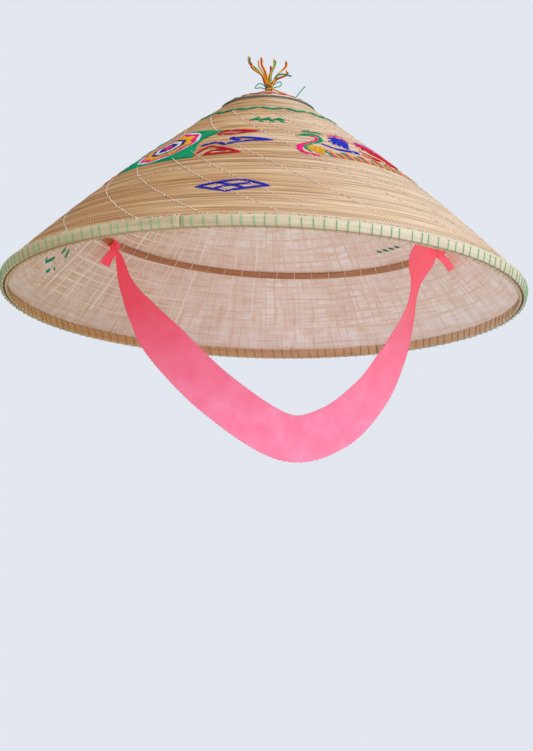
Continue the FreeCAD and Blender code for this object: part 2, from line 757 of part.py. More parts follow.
def make_ribbon():
    write("chin_ribbon", ribbon_loop())
    write("ribbon_knot_left", ribbon_knot(LEFT_KNOT_BEARING))
    write("ribbon_knot_right", ribbon_knot(RIGHT_KNOT_BEARING))
    write("ribbon_tail_left", ribbon_tail(LEFT_KNOT_BEARING, LEFT_TAIL_DIP))
    write("ribbon_tail_right", ribbon_tail(RIGHT_KNOT_BEARING, RIGHT_TAIL_DIP))


os.makedirs("parts", exist_ok=True)
make_cone()
make_rim()
make_support()
make_quilting()
make_crown()
make_tassel()
LAYER = thread_layer()
make_zigzag(LAYER)
make_flowers(LAYER)
make_leaves(LAYER)
make_birds(LAYER)
make_small_motifs(LAYER)
make_ribbon()
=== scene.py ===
import json
import math

import bpy
import numpy as np
from mathutils import Matrix, Vector


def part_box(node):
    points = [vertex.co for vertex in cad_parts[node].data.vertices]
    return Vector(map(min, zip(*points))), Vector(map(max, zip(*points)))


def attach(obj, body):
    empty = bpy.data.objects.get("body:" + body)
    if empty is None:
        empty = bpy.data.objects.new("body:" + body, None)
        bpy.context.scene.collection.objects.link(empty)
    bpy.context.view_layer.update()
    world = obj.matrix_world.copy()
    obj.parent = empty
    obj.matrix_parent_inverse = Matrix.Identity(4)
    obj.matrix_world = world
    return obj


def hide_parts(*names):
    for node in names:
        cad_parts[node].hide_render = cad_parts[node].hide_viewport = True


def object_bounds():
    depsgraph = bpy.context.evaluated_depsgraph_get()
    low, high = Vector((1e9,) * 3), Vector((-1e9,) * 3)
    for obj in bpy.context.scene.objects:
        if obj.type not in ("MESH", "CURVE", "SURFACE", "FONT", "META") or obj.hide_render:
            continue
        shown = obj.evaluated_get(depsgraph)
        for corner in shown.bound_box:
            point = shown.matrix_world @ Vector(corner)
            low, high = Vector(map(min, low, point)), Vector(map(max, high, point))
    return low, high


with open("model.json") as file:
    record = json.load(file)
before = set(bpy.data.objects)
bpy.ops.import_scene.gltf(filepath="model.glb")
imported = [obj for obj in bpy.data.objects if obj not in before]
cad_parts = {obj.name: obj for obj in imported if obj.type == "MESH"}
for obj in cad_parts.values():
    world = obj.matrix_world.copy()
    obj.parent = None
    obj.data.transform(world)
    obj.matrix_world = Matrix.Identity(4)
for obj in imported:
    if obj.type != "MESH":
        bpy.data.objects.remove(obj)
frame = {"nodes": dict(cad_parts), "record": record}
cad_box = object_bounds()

# A conical hat of woven bamboo with a laced rim, embroidery, a tassel and a chin ribbon.
# Metres, with the front of the hat towards -Y. A bearing is an angle round the hat in degrees: 0 at the front
# and 90 at +X. A slant is a length down the cone from its top edge. A depth is a distance inside the cone's
# outer face, and a lift is a distance outside it.

MM = 0.001
UP = (0.0, 0.0, 1.0)
TIP_BACK = math.radians(14.5)  # tilt of the worn hat, which the camera and the hanging ribbon make up for


# Sizes taken from the frame

def node_points(node):
    """The vertices of a CAD node, as an array."""
    mesh = frame["nodes"][node].data
    points = np.empty(3 * len(mesh.vertices))
    mesh.vertices.foreach_get("co", points)
    return points.reshape(-1, 3)


def widest(points, height):
    """The largest radius of the points at a height."""
    level = np.abs(points[:, 2] - height) < 0.05 * MM
    return np.hypot(points[level, 0], points[level, 1]).max()


HOOP = node_points("rim_hoop_outer")
HOOP_FOOT = HOOP[:, 2].min()
HOOP_TOP = HOOP[:, 2].max()
HOOP_HEIGHT = HOOP_TOP - HOOP_FOOT
RIM_RADIUS = widest(HOOP, HOOP_FOOT)
HOOP_LEAN = (widest(HOOP, HOOP_TOP) - RIM_RADIUS) / HOOP_HEIGHT
SUPPORT_LOW, SUPPORT_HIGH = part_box("support_hoop")
SHIFT = (SUPPORT_LOW.x + SUPPORT_HIGH.x) / 2  # the support hoop sits this far off centre
JOINTS = {joint["name"]: joint for joint in frame["record"]["behaviour"]["joints"]}
KNOT_CENTRE = np.array(JOINTS["tassel_sway"]["pos_m"])
CAP_LOW, CAP_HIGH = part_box("crown_cap")
RING_LOW, RING_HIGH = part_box("crown_ring")

# The same construction as the frame's
CONE_FOOT = (0.985, 0.0535)  # radius and height of the cone's outer face, as shares of RIM_RADIUS
CONE_WAIST = (0.600, 0.4160)
CONE_TOP = (0.172, 0.764)
GAP = 0.05 * MM
SHELL_THICKNESS = 0.7 * MM
LINING_THICKNESS = 0.5 * MM
LINING_DEPTH = SHELL_THICKNESS + 0.15 * MM
SKIN_DEPTH = LINING_DEPTH + LINING_THICKNESS
HOOP_THICKNESS = 1.5 * MM
INNER_HOOP_DROP = 0.4 * MM
RIM_DEPTH = 2 * HOOP_THICKNESS + 2 * GAP + SKIN_DEPTH
OUTER_HOOP_JOINT = -16.6
INNER_HOOP_JOINT = 150.0
LACING_COUNT = 157
SUPPORT_RADIUS = 0.724 * RIM_RADIUS
SUPPORT_WIDTH = 5.0 * MM
SUPPORT_THICKNESS = 1.6 * MM
SUPPORT_DEPTH = SKIN_DEPTH + 6 * GAP
SUPPORT_STITCH_COUNT = 60
LEFT_KNOT_BEARING = 242.5
RIGHT_KNOT_BEARING = 105.0
KNOT_RADIUS = 4.2 * MM
RIBBON_WIDTH = 35 * MM


def circle_through(a, b, c):
    """Centre and radius of the circle through three points of the section plane."""
    rows = np.array([np.subtract(b, a), np.subtract(c, a)])
    sums = np.array([np.dot(b, b) - np.dot(a, a), np.dot(c, c) - np.dot(a, a)]) / 2
    centre = np.linalg.solve(rows, sums)
    return centre, math.dist(centre, a)


def rim_share(share):
    return (share[0] * RIM_RADIUS, share[1] * RIM_RADIUS + HOOP_FOOT)


ARC_CENTRE, ARC_RADIUS = circle_through(rim_share(CONE_TOP), rim_share(CONE_WAIST), rim_share(CONE_FOOT))
TOP_ANGLE = math.asin((rim_share(CONE_TOP)[1] - ARC_CENTRE[1]) / ARC_RADIUS)


def section(slant, depth=0.0):
    """Radius and height of a point depth inside the cone's outer face."""
    angle = TOP_ANGLE - np.asarray(slant) / ARC_RADIUS
    reach = ARC_RADIUS - depth
    return ARC_CENTRE[0] + reach * np.cos(angle), ARC_CENTRE[1] + reach * np.sin(angle)


def slant_at(radius):
    return (TOP_ANGLE - math.acos((radius - ARC_CENTRE[0]) / ARC_RADIUS)) * ARC_RADIUS


def radius_at(height, depth):
    return ARC_CENTRE[0] + math.sqrt((ARC_RADIUS - depth) ** 2 - (height - ARC_CENTRE[1]) ** 2)


def turned(radius, height, bearing):
    """Points at a radius, a height and a bearing."""
    angle = np.radians(bearing)
    radius, height, angle = np.broadcast_arrays(radius, height, angle)
    return np.stack([radius * np.sin(angle), -radius * np.cos(angle), height], axis=-1)


def on_cone(bearing, slant, lift=0.0):
    radius, height = section(slant, -np.asarray(lift))
    return turned(radius, height, bearing)


def cone_normal(bearing, slant):
    angle = TOP_ANGLE - np.asarray(slant) / ARC_RADIUS
    return turned(np.cos(angle), np.sin(angle), bearing)


def band(depth, height):
    """Radius and height of a point on the line that lies depth inside the outer hoop's outer face."""
    level_depth = depth * math.hypot(1, HOOP_LEAN)
    return RIM_RADIUS + (height - HOOP_FOOT) * HOOP_LEAN - level_depth, height


def band_corner(band_depth, skin_depth):
    """Height at which the rim band's line meets a face of the cone, found by halving."""
    low, high = HOOP_FOOT, HOOP_TOP + 3 * HOOP_THICKNESS
    for _ in range(40):
        middle = (low + high) / 2
        if band(band_depth, middle)[0] < radius_at(middle, skin_depth):
            low = middle
        else:
            high = middle
    return low


SUPPORT_SLANT = slant_at(SUPPORT_RADIUS)
SUPPORT_LEVEL = section(SUPPORT_SLANT)[1]
SUPPORT_TILT = math.atan2(SHIFT / math.tan(TOP_ANGLE - SUPPORT_SLANT / ARC_RADIUS), SUPPORT_RADIUS)


def with_support(points):
    """Points moved with the support hoop, which sits off centre and so tilts on the cone."""
    x, y, z = np.moveaxis(np.asarray(points, float), -1, 0)
    z = z - SUPPORT_LEVEL
    cosine, sine = math.cos(SUPPORT_TILT), math.sin(SUPPORT_TILT)
    return np.stack([x * cosine + z * sine + SHIFT, y, SUPPORT_LEVEL + z * cosine - x * sine], axis=-1)


# Curves

def smooth(a, b, c, d, t):
    """The point a share t of the way from b to c on a smooth curve through a, b, c and d."""
    return b + 0.5 * t * (c - a + t * (2 * a - 5 * b + 4 * c - d + t * (3 * b - 3 * c + d - a)))


def flowing(points, count):
    """Count points on a smooth open curve through the given ones."""
    given = np.asarray(points, float)
    padded = np.vstack([2 * given[0] - given[1], given, 2 * given[-1] - given[-2]])
    place = np.linspace(0, len(given) - 1 - 1e-9, count)
    index = place.astype(int)
    return smooth(*(padded[index + i] for i in range(4)), (place - index)[:, None])


def ring_curve(points, count):
    """Count points on a smooth closed curve through the given ones."""
    given = np.asarray(points, float)
    place = np.arange(count) * len(given) / count
    index = place.astype(int)
    return smooth(*(given[(index + i - 1) % len(given)] for i in range(4)), (place - index)[:, None])


def lengths_along(points):
    steps = np.linalg.norm(np.diff(points, axis=0), axis=1)
    return np.concatenate([[0], np.cumsum(steps)])


def even(points, count):
    """Count points evenly spaced along a polyline."""
    points = np.asarray(points, float)
    length = lengths_along(points)
    wanted = np.linspace(0, length[-1], count)
    return np.stack([np.interp(wanted, length, points[:, i]) for i in range(points.shape[1])], axis=-1)


def wander(rng, bearings, rows, waves):
    """Slow random waves round the hat, one line of values for each row, about 1 high."""
    total = np.zeros((rows, len(bearings)))
    for wave in waves:
        phase = rng.uniform(0, 2 * math.pi, (rows, 1))
        total += np.sin(wave * np.radians(bearings)[None, :] + phase) * rng.normal(1, 0.4, (rows, 1))
    return total / math.sqrt(len(waves))


# Meshes

def make_mesh(name, points, face_groups, attributes=None):
    """A smooth-shaded mesh object from points and groups of faces, each group with one number of corners."""
    mesh = bpy.data.meshes.new(name)
    corners = np.concatenate([np.asarray(g).ravel() for g in face_groups])
    sizes = np.concatenate([np.full(len(g), np.shape(g)[1]) for g in face_groups])
    mesh.vertices.add(len(points))
    mesh.vertices.foreach_set("co", np.asarray(points, np.float32).ravel())
    mesh.loops.add(len(corners))
    mesh.loops.foreach_set("vertex_index", corners.astype(np.int32))
    mesh.polygons.add(len(sizes))
    mesh.polygons.foreach_set("loop_start", (np.cumsum(sizes) - sizes).astype(np.int32))
    mesh.update(calc_edges=True)
    for key, values in (attributes or {}).items():
        layer = mesh.attributes.new(key, "FLOAT", "POINT")
        layer.data.foreach_set("value", np.asarray(values, np.float32).ravel())
    mesh.shade_smooth()
    piece = bpy.data.objects.new(name, mesh)
    bpy.context.scene.collection.objects.link(piece)
    return piece


def grid_faces(rows, columns, closed_rows, closed_columns):
    """Quads between neighbouring rows and columns of a grid of points."""
    row = np.arange(rows if closed_rows else rows - 1)
    column = np.arange(columns if closed_columns else columns - 1)
    i, j = (a.ravel() for a in np.meshgrid(row, column, indexing="ij"))
    i2, j2 = (i + 1) % rows, (j + 1) % columns
    return np.stack([i * columns + j, i * columns + j2, i2 * columns + j2, i2 * columns + j], axis=-1)


def skin_mesh(name, rings, closed_path, attributes=None):
    """A closed solid from rings of points, shaped (stations, points of a ring, 3)."""
    stations, size = rings.shape[:2]
    groups = [grid_faces(stations, size, closed_path, True)]
    if not closed_path:
        first = np.arange(size)[None, :]
        groups.append(first[:, ::-1])
        groups.append(first + (stations - 1) * size)
    return make_mesh(name, rings.reshape(-1, 3), groups, attributes)


def unit(vectors):
    return vectors / np.maximum(np.linalg.norm(vectors, axis=-1, keepdims=True), 1e-12)


def thread_rings(paths, normals, half_width, half_height, sides, closed):
    """Rings of points round thread centre lines. Paths and normals are shaped (threads, points, 3)."""
    if closed:
        ahead = np.roll(paths, -1, axis=1) - np.roll(paths, 1, axis=1)
    else:
        ahead = np.gradient(paths, axis=1)
    side = unit(np.cross(normals, unit(ahead)))
    up = unit(np.cross(ahead, side))
    turn = 2 * math.pi * (np.arange(sides) + 0.5) / sides
    across = np.broadcast_to(half_width, paths.shape[:2])[..., None, None] * side[:, :, None, :]
    rise = np.broadcast_to(half_height, paths.shape[:2])[..., None, None] * up[:, :, None, :]
    return paths[:, :, None, :] + across * np.cos(turn)[:, None] + rise * np.sin(turn)[:, None]


class Bundle:
    """Threads gathered into one mesh, each with its own colour and tone."""

    def __init__(self):
        self.points, self.groups, self.tones, self.along, self.colours = [], [], [], [], []
        self.count = 0
        self.rng = np.random.default_rng(11)

    def add(self, paths, normals, half_width, half_height=None, sides=6, closed=False, colour=0):
        """Adds threads along paths shaped (threads, points, 3)."""
        half_height = half_width if half_height is None else half_height
        rings = thread_rings(paths, normals, half_width, half_height, sides, closed)
        threads, length = paths.shape[:2]
        quads = grid_faces(length, sides, closed, True)
        starts = self.count + np.arange(threads)[:, None, None] * length * sides
        groups = [(quads[None] + starts).reshape(-1, 4)]
        if not closed:
            cap = np.arange(sides)[None, None, :]
            groups.append((cap[..., ::-1] + starts).reshape(-1, sides))
            groups.append((cap + starts + (length - 1) * sides).reshape(-1, sides))
        self.points.append(rings.reshape(-1, 3))
        self.groups += groups
        self.colours += [np.full(len(g), colour) for g in groups]
        tone = self.rng.uniform(0, 1, threads)
        self.tones.append(np.repeat(tone, length * sides))
        steps = np.linalg.norm(np.diff(paths, axis=1, prepend=paths[:, :1]), axis=-1)
        self.along.append(np.repeat(np.cumsum(steps, axis=1), sides, axis=1).ravel())
        self.count += threads * length * sides

    def lay(self, bearings, slants, lift, half_width, half_height, sides=6, face=1, **settings):
        """Adds threads that lie on the cone. Face is -1 for threads on its inside."""
        normals = face * cone_normal(bearings, slants)
        self.add(on_cone(bearings, slants, lift), normals, half_width, half_height, sides, **settings)

    def build(self, name, looks, slot, body, *nodes):
        """The finished piece, riding on a body in place of the CAD nodes."""
        attributes = {"tone": np.concatenate(self.tones), "along": np.concatenate(self.along)}
        piece = make_mesh(name, np.concatenate(self.points), self.groups, attributes)
        finished(piece, looks, slot, body, *nodes)
        piece.data.polygons.foreach_set("material_index", np.concatenate(self.colours).astype(np.int32))
        return piece


def finished(piece, looks, slot, body, *nodes):
    """Gives a piece its materials, and rides it on a body in place of the CAD nodes. The slot is not used."""
    for look in looks:
        piece.data.materials.append(look)
    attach(piece, body)
    if nodes:
        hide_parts(*nodes)


# Materials

ROW_PITCH = 2.0 * MM  # splints round the cone
WARP_COUNT = 520.0  # splints down the cone


def colour(red, green, blue):
    """A linear colour from display values of 0 to 255."""
    shares = [v / 255 for v in (red, green, blue)]
    return tuple(s / 12.92 if s <= 0.04045 else ((s + 0.055) / 1.055) ** 2.4 for s in shares) + (1.0,)


class Value:
    """An output of a shader's node, which other values or numbers can be added to or multiplied by."""

    def __init__(self, shader, socket):
        self.shader = shader
        self.socket = socket

    def __add__(self, other):
        return self.shader.math("ADD", self, other)

    def __sub__(self, other):
        return self.shader.math("SUBTRACT", self, other)

    def __mul__(self, other):
        return self.shader.math("MULTIPLY", self, other)


class Shader:
    """A node material under construction."""

    def __init__(self, name, roughness, **settings):
        self.material = bpy.data.materials.new(name)
        self.material.use_nodes = True
        self.tree = self.material.node_tree
        self.tree.nodes.clear()
        self.surface = self.node("BsdfPrincipled", Roughness=roughness, **settings)
        self.node("OutputMaterial", Surface=self.output(self.surface, "BSDF"))

    def node(self, kind, options=None, **inputs):
        node = self.tree.nodes.new("ShaderNode" + kind)
        for name, value in (options or {}).items():
            setattr(node, name, value)
        for name, value in inputs.items():
            self.feed(node.inputs[name.replace("_", " ")], value)
        return node

    def feed(self, socket, value):
        if isinstance(value, Value):
            self.tree.links.new(value.socket, socket)
        else:
            socket.default_value = value

    def output(self, node, name=0):
        return Value(self, node.outputs[name])

    def worked(self, node, values):
        """The result of a node fed with values in the order of its inputs."""
        for socket, value in zip(node.inputs, values):
            self.feed(socket, value)
        return self.output(node)

    def math(self, operation, *values):
        return self.worked(self.node("Math", {"operation": operation}), values)

    def vector(self, operation, *values):
        return self.worked(self.node("VectorMath", {"operation": operation}), values)

    def attribute(self, name):
        return self.output(self.node("Attribute", {"attribute_name": name}), "Fac")

    def position(self):
        return self.output(self.node("TexCoord"), "Object")

    def joined(self, **parts):
        """A vector from its X, Y and Z parts."""
        return self.output(self.node("CombineXYZ", **parts))

    def part(self, vector, axis):
        return self.output(self.node("SeparateXYZ", Vector=vector), axis)

    def level(self):
        """The position, with its height left out."""
        return self.vector("MULTIPLY", self.position(), (1.0, 1.0, 0.0))

    def direction(self):
        """The direction from the hat's axis to the point, level and one long."""
        return self.vector("NORMALIZE", self.level())

    def turns(self, count):
        """The bearing, counted in count parts of a full turn."""
        direction = self.direction()
        angle = self.math("ARCTAN2", self.part(direction, "X"), self.part(direction, "Y") * -1.0)
        return angle * (count / (2 * math.pi))

    def noise(self, vector, scale, detail=2.0, roughness=0.5):
        node = self.node("TexNoise", Vector=vector, Scale=scale, Detail=detail, Roughness=roughness)
        return self.output(node)

    def streaks(self, around, length, detail=2.0, roughness=0.5):
        """Noise with around cells in a radian round the hat and a cell for each length down the slope."""
        turn = self.vector("MULTIPLY", self.direction(), (around, around, around))
        place = self.vector("ADD", turn, self.joined(Z=self.attribute("along") * (1 / length)))
        return self.noise(place, 1.0, detail, roughness)

    def stripe(self, value, pitch=1.0):
        """A soft wave of 0 to 1 that repeats at a pitch."""
        wave = self.math("SINE", value * (2 * math.pi / pitch))
        return wave * 0.5 + 0.5

    def between(self, value, low, high, to_low=0.0, to_high=1.0):
        node = self.node("MapRange", From_Min=low, From_Max=high, To_Min=to_low, To_Max=to_high)
        self.feed(node.inputs["Value"], value)
        return self.output(node, "Result")

    def ramp(self, value, shades, places=None):
        """A colour picked from shades by a value. The shades are evenly spaced if they have no places."""
        node = self.node("ValToRGB", Fac=value)
        elements = node.color_ramp.elements
        while len(elements) < len(shades):
            elements.new(1.0)
        for element, place, shade in zip(elements, places or np.linspace(0, 1, len(shades)), shades):
            element.position = place
            element.color = shade
        return self.output(node, "Color")

    def mix(self, share, first, second, blend="MIX"):
        node = self.node("Mix", {"data_type": "RGBA", "blend_type": blend})
        self.feed(node.inputs[0], share)
        self.feed(node.inputs[6], first)
        self.feed(node.inputs[7], second)
        return self.output(node, 2)

    def side(self, left, right, to_left=0.0, to_right=1.0):
        """A value that grows from left to right across the hat, whose edges are at -1 and 1."""
        return self.between(self.part(self.direction(), "X"), left, right, to_left, to_right)

    def painted_side_light(self, base, side, left_shade, right_shade):
        """The base colour under painted light and shade: multiplied by one shade at the hat's left and
        another at its right.
        """
        return self.mix(1.0, base, self.mix(side, left_shade, right_shade), "MULTIPLY")

    def finish(self, base, height, strength, **settings):
        """Connects the colour and a relief given as a height in metres, and returns the material."""
        bump = self.node("Bump", Height=height, Strength=strength, Distance=1.0)
        settings["Normal"] = self.output(bump, "Normal")
        settings["Base_Color"] = base
        for name, value in settings.items():
            self.feed(self.surface.inputs[name.replace("_", " ")], value)
        return self.material


PAINTED_GLOW = 0.12  # painted glow: emission that stands in for daylight through the thin weave
# painted glow of the ribbon, which stands in for light through the thin cloth
RIBBON_PAINTED_GLOW = 0.26
# heights over which painted warm light takes the ribbon from its own pink to a deeper red, nearly full at the
# upper one
RIBBON_PAINTED_LIGHT_FOOT = -0.07
RIBBON_PAINTED_LIGHT_TOP = 0.015
SPLINT_TAN = colour(222, 182, 140)
FULL_LIGHT = colour(255, 255, 255)


def shell_material():
    """Fine splints laid round the cone, each in its own shade of straw, crossed by thin radial ones, under
    painted light and shade.
    """
    s = Shader("shell_bamboo", 0.7, Specular_IOR_Level=0.2)
    fine = s.streaks(2.6, 0.8 * MM, 1.0)
    tone = fine * 0.60 + s.streaks(0.8, 1.6 * MM, 2.0, 0.7) * 0.26 + s.streaks(0.6, 9 * MM, 1.0) * 0.14
    straw = s.ramp(s.between(tone, 0.36, 0.64), [
        colour(140, 104, 70),
        colour(182, 142, 102),
        colour(207, 171, 129),
        colour(224, 195, 157),
        colour(243, 228, 202),
    ])
    pale = s.between(s.streaks(0.4, 1.5 * MM, 0.0), 0.66, 0.71)
    straw = s.mix(pale * 0.6, straw, colour(242, 228, 204))
    rows = s.stripe(s.attribute("along"), 1.5 * ROW_PITCH)
    weave = (rows - 0.5) * (s.stripe(s.turns(WARP_COUNT)) - 0.5)
    low_down = s.between(s.attribute("along"), 0.45 * RIM_RADIUS, 0.95 * RIM_RADIUS)
    seen = s.between(s.streaks(1.6, 30 * MM, 1.0), 0.44, 0.58) * low_down
    # the weave's dots, partly painted: painted shade where the weave lies low and painted highlight where it
    # stands high, over the real plain-weave pattern
    painted_shade_dots = s.between(weave, -0.20, -0.05, 1.0, 0.0)
    straw = s.mix(painted_shade_dots * (seen * 0.45), straw, colour(160, 118, 80))
    painted_highlight_dots = s.between(weave, 0.05, 0.20)
    straw = s.mix(painted_highlight_dots * (seen * 0.45), straw, colour(246, 234, 214))
    # painted shade: the straw is darker and browner towards the hat's left, away from the key light
    straw = s.painted_side_light(straw, s.side(-0.8, 0.6), colour(226, 196, 152), colour(252, 250, 250))
    # painted sheen: the straw turns paler and greyer towards the lit right
    straw = s.mix(s.side(-0.1, 0.8, 0.0, 0.32), straw, colour(224, 211, 196))
    relief = rows * (0.04 * MM) + fine * (0.22 * MM) + weave * seen * (0.14 * MM)
    return s.finish(straw, relief, 0.6)


def lining_material():
    """A pale loosely woven skin with tan splints in it, and a fine mesh close to the rim, under painted shade
    at the left and with a painted glow.
    """
    s = Shader("lining_bamboo", 0.75, Specular_IOR_Level=0.25)
    mottle = s.between(s.noise(s.position(), 60.0, 3.0, 0.6), 0.3, 0.72)
    skin = s.ramp(mottle, [colour(232, 216, 200), colour(240, 228, 214), colour(250, 244, 236)])
    around = s.streaks(6.0, 2.2 * MM, 2.0, 0.6)
    skin = s.mix(s.between(around, 0.48, 0.70, 0.0, 0.6), skin, SPLINT_TAN)
    down = s.streaks(56.0, 26 * MM, 2.0, 0.6)
    skin = s.mix(s.between(down, 0.48, 0.72, 0.0, 0.6), skin, SPLINT_TAN)
    columns = s.between(s.stripe(s.turns(300.0)), 0.35, 0.6)
    lines = s.between(s.stripe(s.attribute("along"), 2.6 * MM), 0.3, 0.6)
    near_rim = s.between(s.attribute("along"), RIM_RADIUS, 1.04 * RIM_RADIUS, 0.0, 0.6)
    skin = s.mix(near_rim * (columns * lines), skin, colour(240, 232, 232))
    # painted shade: the lining is darker towards the hat's left
    skin = s.painted_side_light(skin, s.side(-0.9, 0.1), colour(224, 214, 198), FULL_LIGHT)
    relief = around * (0.3 * MM) + down * (0.3 * MM)
    # painted glow: the lining emits a little of its own colour
    return s.finish(skin, relief, 0.7, Emission_Color=skin, Emission_Strength=PAINTED_GLOW)


def split_bamboo(name, dark, middle, light):
    """A split bamboo strip with fine grain along its length round the hat, under painted shade towards the
    hat's left.
    """
    s = Shader(name, 0.42, Specular_IOR_Level=0.45)
    fibre = s.streaks(7.0, 0.35 * MM, 3.0, 0.65)
    tone = fibre * 0.6 + s.streaks(2.2, 3 * MM) * 0.5
    wood = s.ramp(s.between(tone, 0.36, 0.76), [dark, middle, light])
    marks = s.between(s.streaks(190.0, 9 * MM, 1.0), 0.62, 0.72)
    wood = s.mix(marks * 0.35, wood, dark)
    # painted shade: the strip is darker and yellower towards the hat's left
    wood = s.painted_side_light(wood, s.side(-0.8, 0.5), colour(240, 226, 190), FULL_LIGHT)
    rough = s.between(fibre, 0.3, 0.7, 0.36, 0.55)
    return s.finish(wood, fibre * (0.12 * MM), 0.6, Roughness=rough)


def strip_material():
    """Thin woven strips seen from inside the hat, with a painted glow."""
    s = Shader("lining_strip", 0.6, Specular_IOR_Level=0.3)
    fibre = s.noise(s.position(), 900.0, 2.0, 0.6)
    tone = fibre * 0.4 + s.attribute("tone") * 0.7
    wood = s.ramp(tone, [colour(222, 194, 162), colour(232, 212, 188), colour(242, 230, 216)])
    # painted glow: the strips emit a little of their own colour
    return s.finish(wood, fibre * (0.1 * MM), 0.5, Emission_Color=wood, Emission_Strength=PAINTED_GLOW)


def fringe_material():
    """Frayed splint ends, a few of them dark."""
    s = Shader("shell_fringe", 0.7, Specular_IOR_Level=0.3)
    fibre = s.noise(s.position(), 1200.0, 1.0)
    shades = [colour(150, 80, 56), colour(196, 150, 104), colour(236, 220, 196), colour(250, 246, 238)]
    shade = s.ramp(s.attribute("tone"), shades, (0.0, 0.12, 0.35, 1.0))
    return s.finish(shade, fibre * (0.05 * MM), 0.5)


def thread_material(name, shade, rim_inside_colour=None):
    """Spun thread, every strand a little lighter or darker. A rim inside colour, if given, is the colour it
    turns to inside and below the rim.
    """
    s = Shader(name, 0.6, Specular_IOR_Level=0.12)
    base = colour(*shade)
    darker = tuple(0.55 * v for v in base[:3]) + (1.0,)
    lighter = tuple(min(1.0, 1.15 * v + 0.008) for v in base[:3]) + (1.0,)
    fibre = s.noise(s.position(), 1500.0, 2.0, 0.6)
    tone = fibre * 0.6 + s.attribute("tone") * 0.6
    thread = s.ramp(s.between(tone, 0.15, 1.0), [darker, base, lighter])
    if rim_inside_colour is not None:
        reach = s.output(s.node("VectorMath", {"operation": "LENGTH"}, Vector=s.level()), "Value")
        inside = s.between(reach, RIM_RADIUS - 0.7 * RIM_DEPTH, RIM_RADIUS - 0.3 * RIM_DEPTH, 1.0, 0.0)
        height = s.part(s.position(), "Z")
        below = s.between(height, HOOP_FOOT - 0.1 * MM, HOOP_FOOT + 0.6 * MM, 1.0, 0.0)
        thread = s.mix(s.math("MAXIMUM", inside, below), thread, colour(*rim_inside_colour))
    twist = s.stripe(s.attribute("along"), 0.9 * MM)
    return s.finish(thread, twist * (0.03 * MM) + fibre * (0.08 * MM), 0.6)


def ribbon_material():
    """Pink taffeta with fine ribs across its width and a soft sheen, pinker where it hangs low: painted warm
    light makes it redder high up, darker at the hat's left and brighter at its right, and a painted glow
    lights it through.
    """
    s = Shader("ribbon_fabric", 0.5, Specular_IOR_Level=0.4, Sheen_Weight=0.5, Sheen_Roughness=0.35)
    along = s.attribute("along")
    across = s.attribute("across")
    cloudy = s.noise(s.joined(X=along, Y=across), 60.0, 3.0, 0.55)
    slub = s.noise(s.joined(X=along * 14.0, Y=across), 120.0, 2.0, 0.6)
    tone = s.between(cloudy * 0.7 + slub * 0.3, 0.32, 0.68)
    cloth = s.ramp(tone, [colour(252, 114, 150), colour(254, 132, 166), colour(255, 150, 182)])
    # painted light and shade: darker at the hat's left, brighter at its right, and warm light high up
    right = s.between(s.part(s.position(), "X"), -0.4 * RIM_RADIUS, 0.4 * RIM_RADIUS)
    painted_coral_light = s.mix(right, colour(236, 62, 78), colour(255, 100, 116))
    high = s.between(s.part(s.position(), "Z"), RIBBON_PAINTED_LIGHT_FOOT, RIBBON_PAINTED_LIGHT_TOP, 0.0, 0.9)
    cloth = s.mix(high, cloth, painted_coral_light)
    edge = s.between(s.math("ABSOLUTE", across), 0.44 * RIBBON_WIDTH, 0.5 * RIBBON_WIDTH)
    cloth = s.mix(edge * 0.3, cloth, colour(255, 150, 168))
    relief = s.stripe(along, 0.9 * MM) * (0.05 * MM) + s.stripe(across, 0.7 * MM) * (0.03 * MM)
    # painted glow: the ribbon emits a little of its own colour
    return s.finish(cloth, relief, 0.5, Emission_Color=cloth, Emission_Strength=RIBBON_PAINTED_GLOW)


def floor_material():
    s = Shader("floor_white", 0.8, Specular_IOR_Level=0.2)
    s.feed(s.surface.inputs["Base Color"], colour(226, 229, 234))
    return s.material


SHELL_LOOK = shell_material()
LINING_LOOK = lining_material()
STRIP_LOOK = strip_material()
FRINGE_LOOK = fringe_material()
OUTER_HOOP_LOOK = split_bamboo(
    "hoop_bamboo_pale", colour(192, 174, 142), colour(216, 203, 176), colour(234, 228, 212))
INNER_HOOP_LOOK = split_bamboo(
    "hoop_bamboo_inner", colour(206, 164, 120), colour(230, 198, 156), colour(242, 220, 186))
# painted shade: the cane's dark brown stands in for the shade in the gap between the hoops
GAP_SHADE_CANE_LOOK = split_bamboo("cane_bamboo", colour(104, 62, 30), colour(132, 84, 44), colour(160, 112, 66))
SUPPORT_LOOK = split_bamboo(
    "support_bamboo", colour(164, 108, 64), colour(194, 134, 86), colour(214, 162, 114))
RIBBON_LOOK = ribbon_material()
GREEN = thread_material("green_thread", (0, 152, 100))
DEEP_GREEN = thread_material("green_thread_deep", (0, 118, 80))
YELLOW = thread_material("yellow_thread", (232, 168, 30))
RED = thread_material("red_thread", (200, 12, 36))
PINK = thread_material("pink_thread", (236, 28, 126))
VIOLET = thread_material("violet_thread", (128, 58, 184))
BLUE = thread_material("blue_thread", (26, 36, 182))
DARK_BLUE = thread_material("blue_thread_deep", (22, 26, 122))
WHITE = thread_material("white_thread", (226, 220, 226))
CREAM = thread_material("quilting_thread", (232, 214, 192))
LACING_GREEN = thread_material("lacing_thread", (118, 200, 136), (176, 158, 112))
RING_GREY = thread_material("ring_thread", (108, 136, 130))


# Cone and lining

STATIONS = 500  # steps round the hat of the big skins
BACK_STEPS = 24  # steps down the unseen face of a skin
ROW_RELIEF = 0.16 * MM
LINING_PITCH = 3.4 * MM
LINING_RELIEF = 0.05 * MM
EDGE_LEVEL = HOOP_FOOT + 1.9 * MM  # where the skins end between the hoops


def station_bearings(count):
    return np.arange(count) * 360 / count


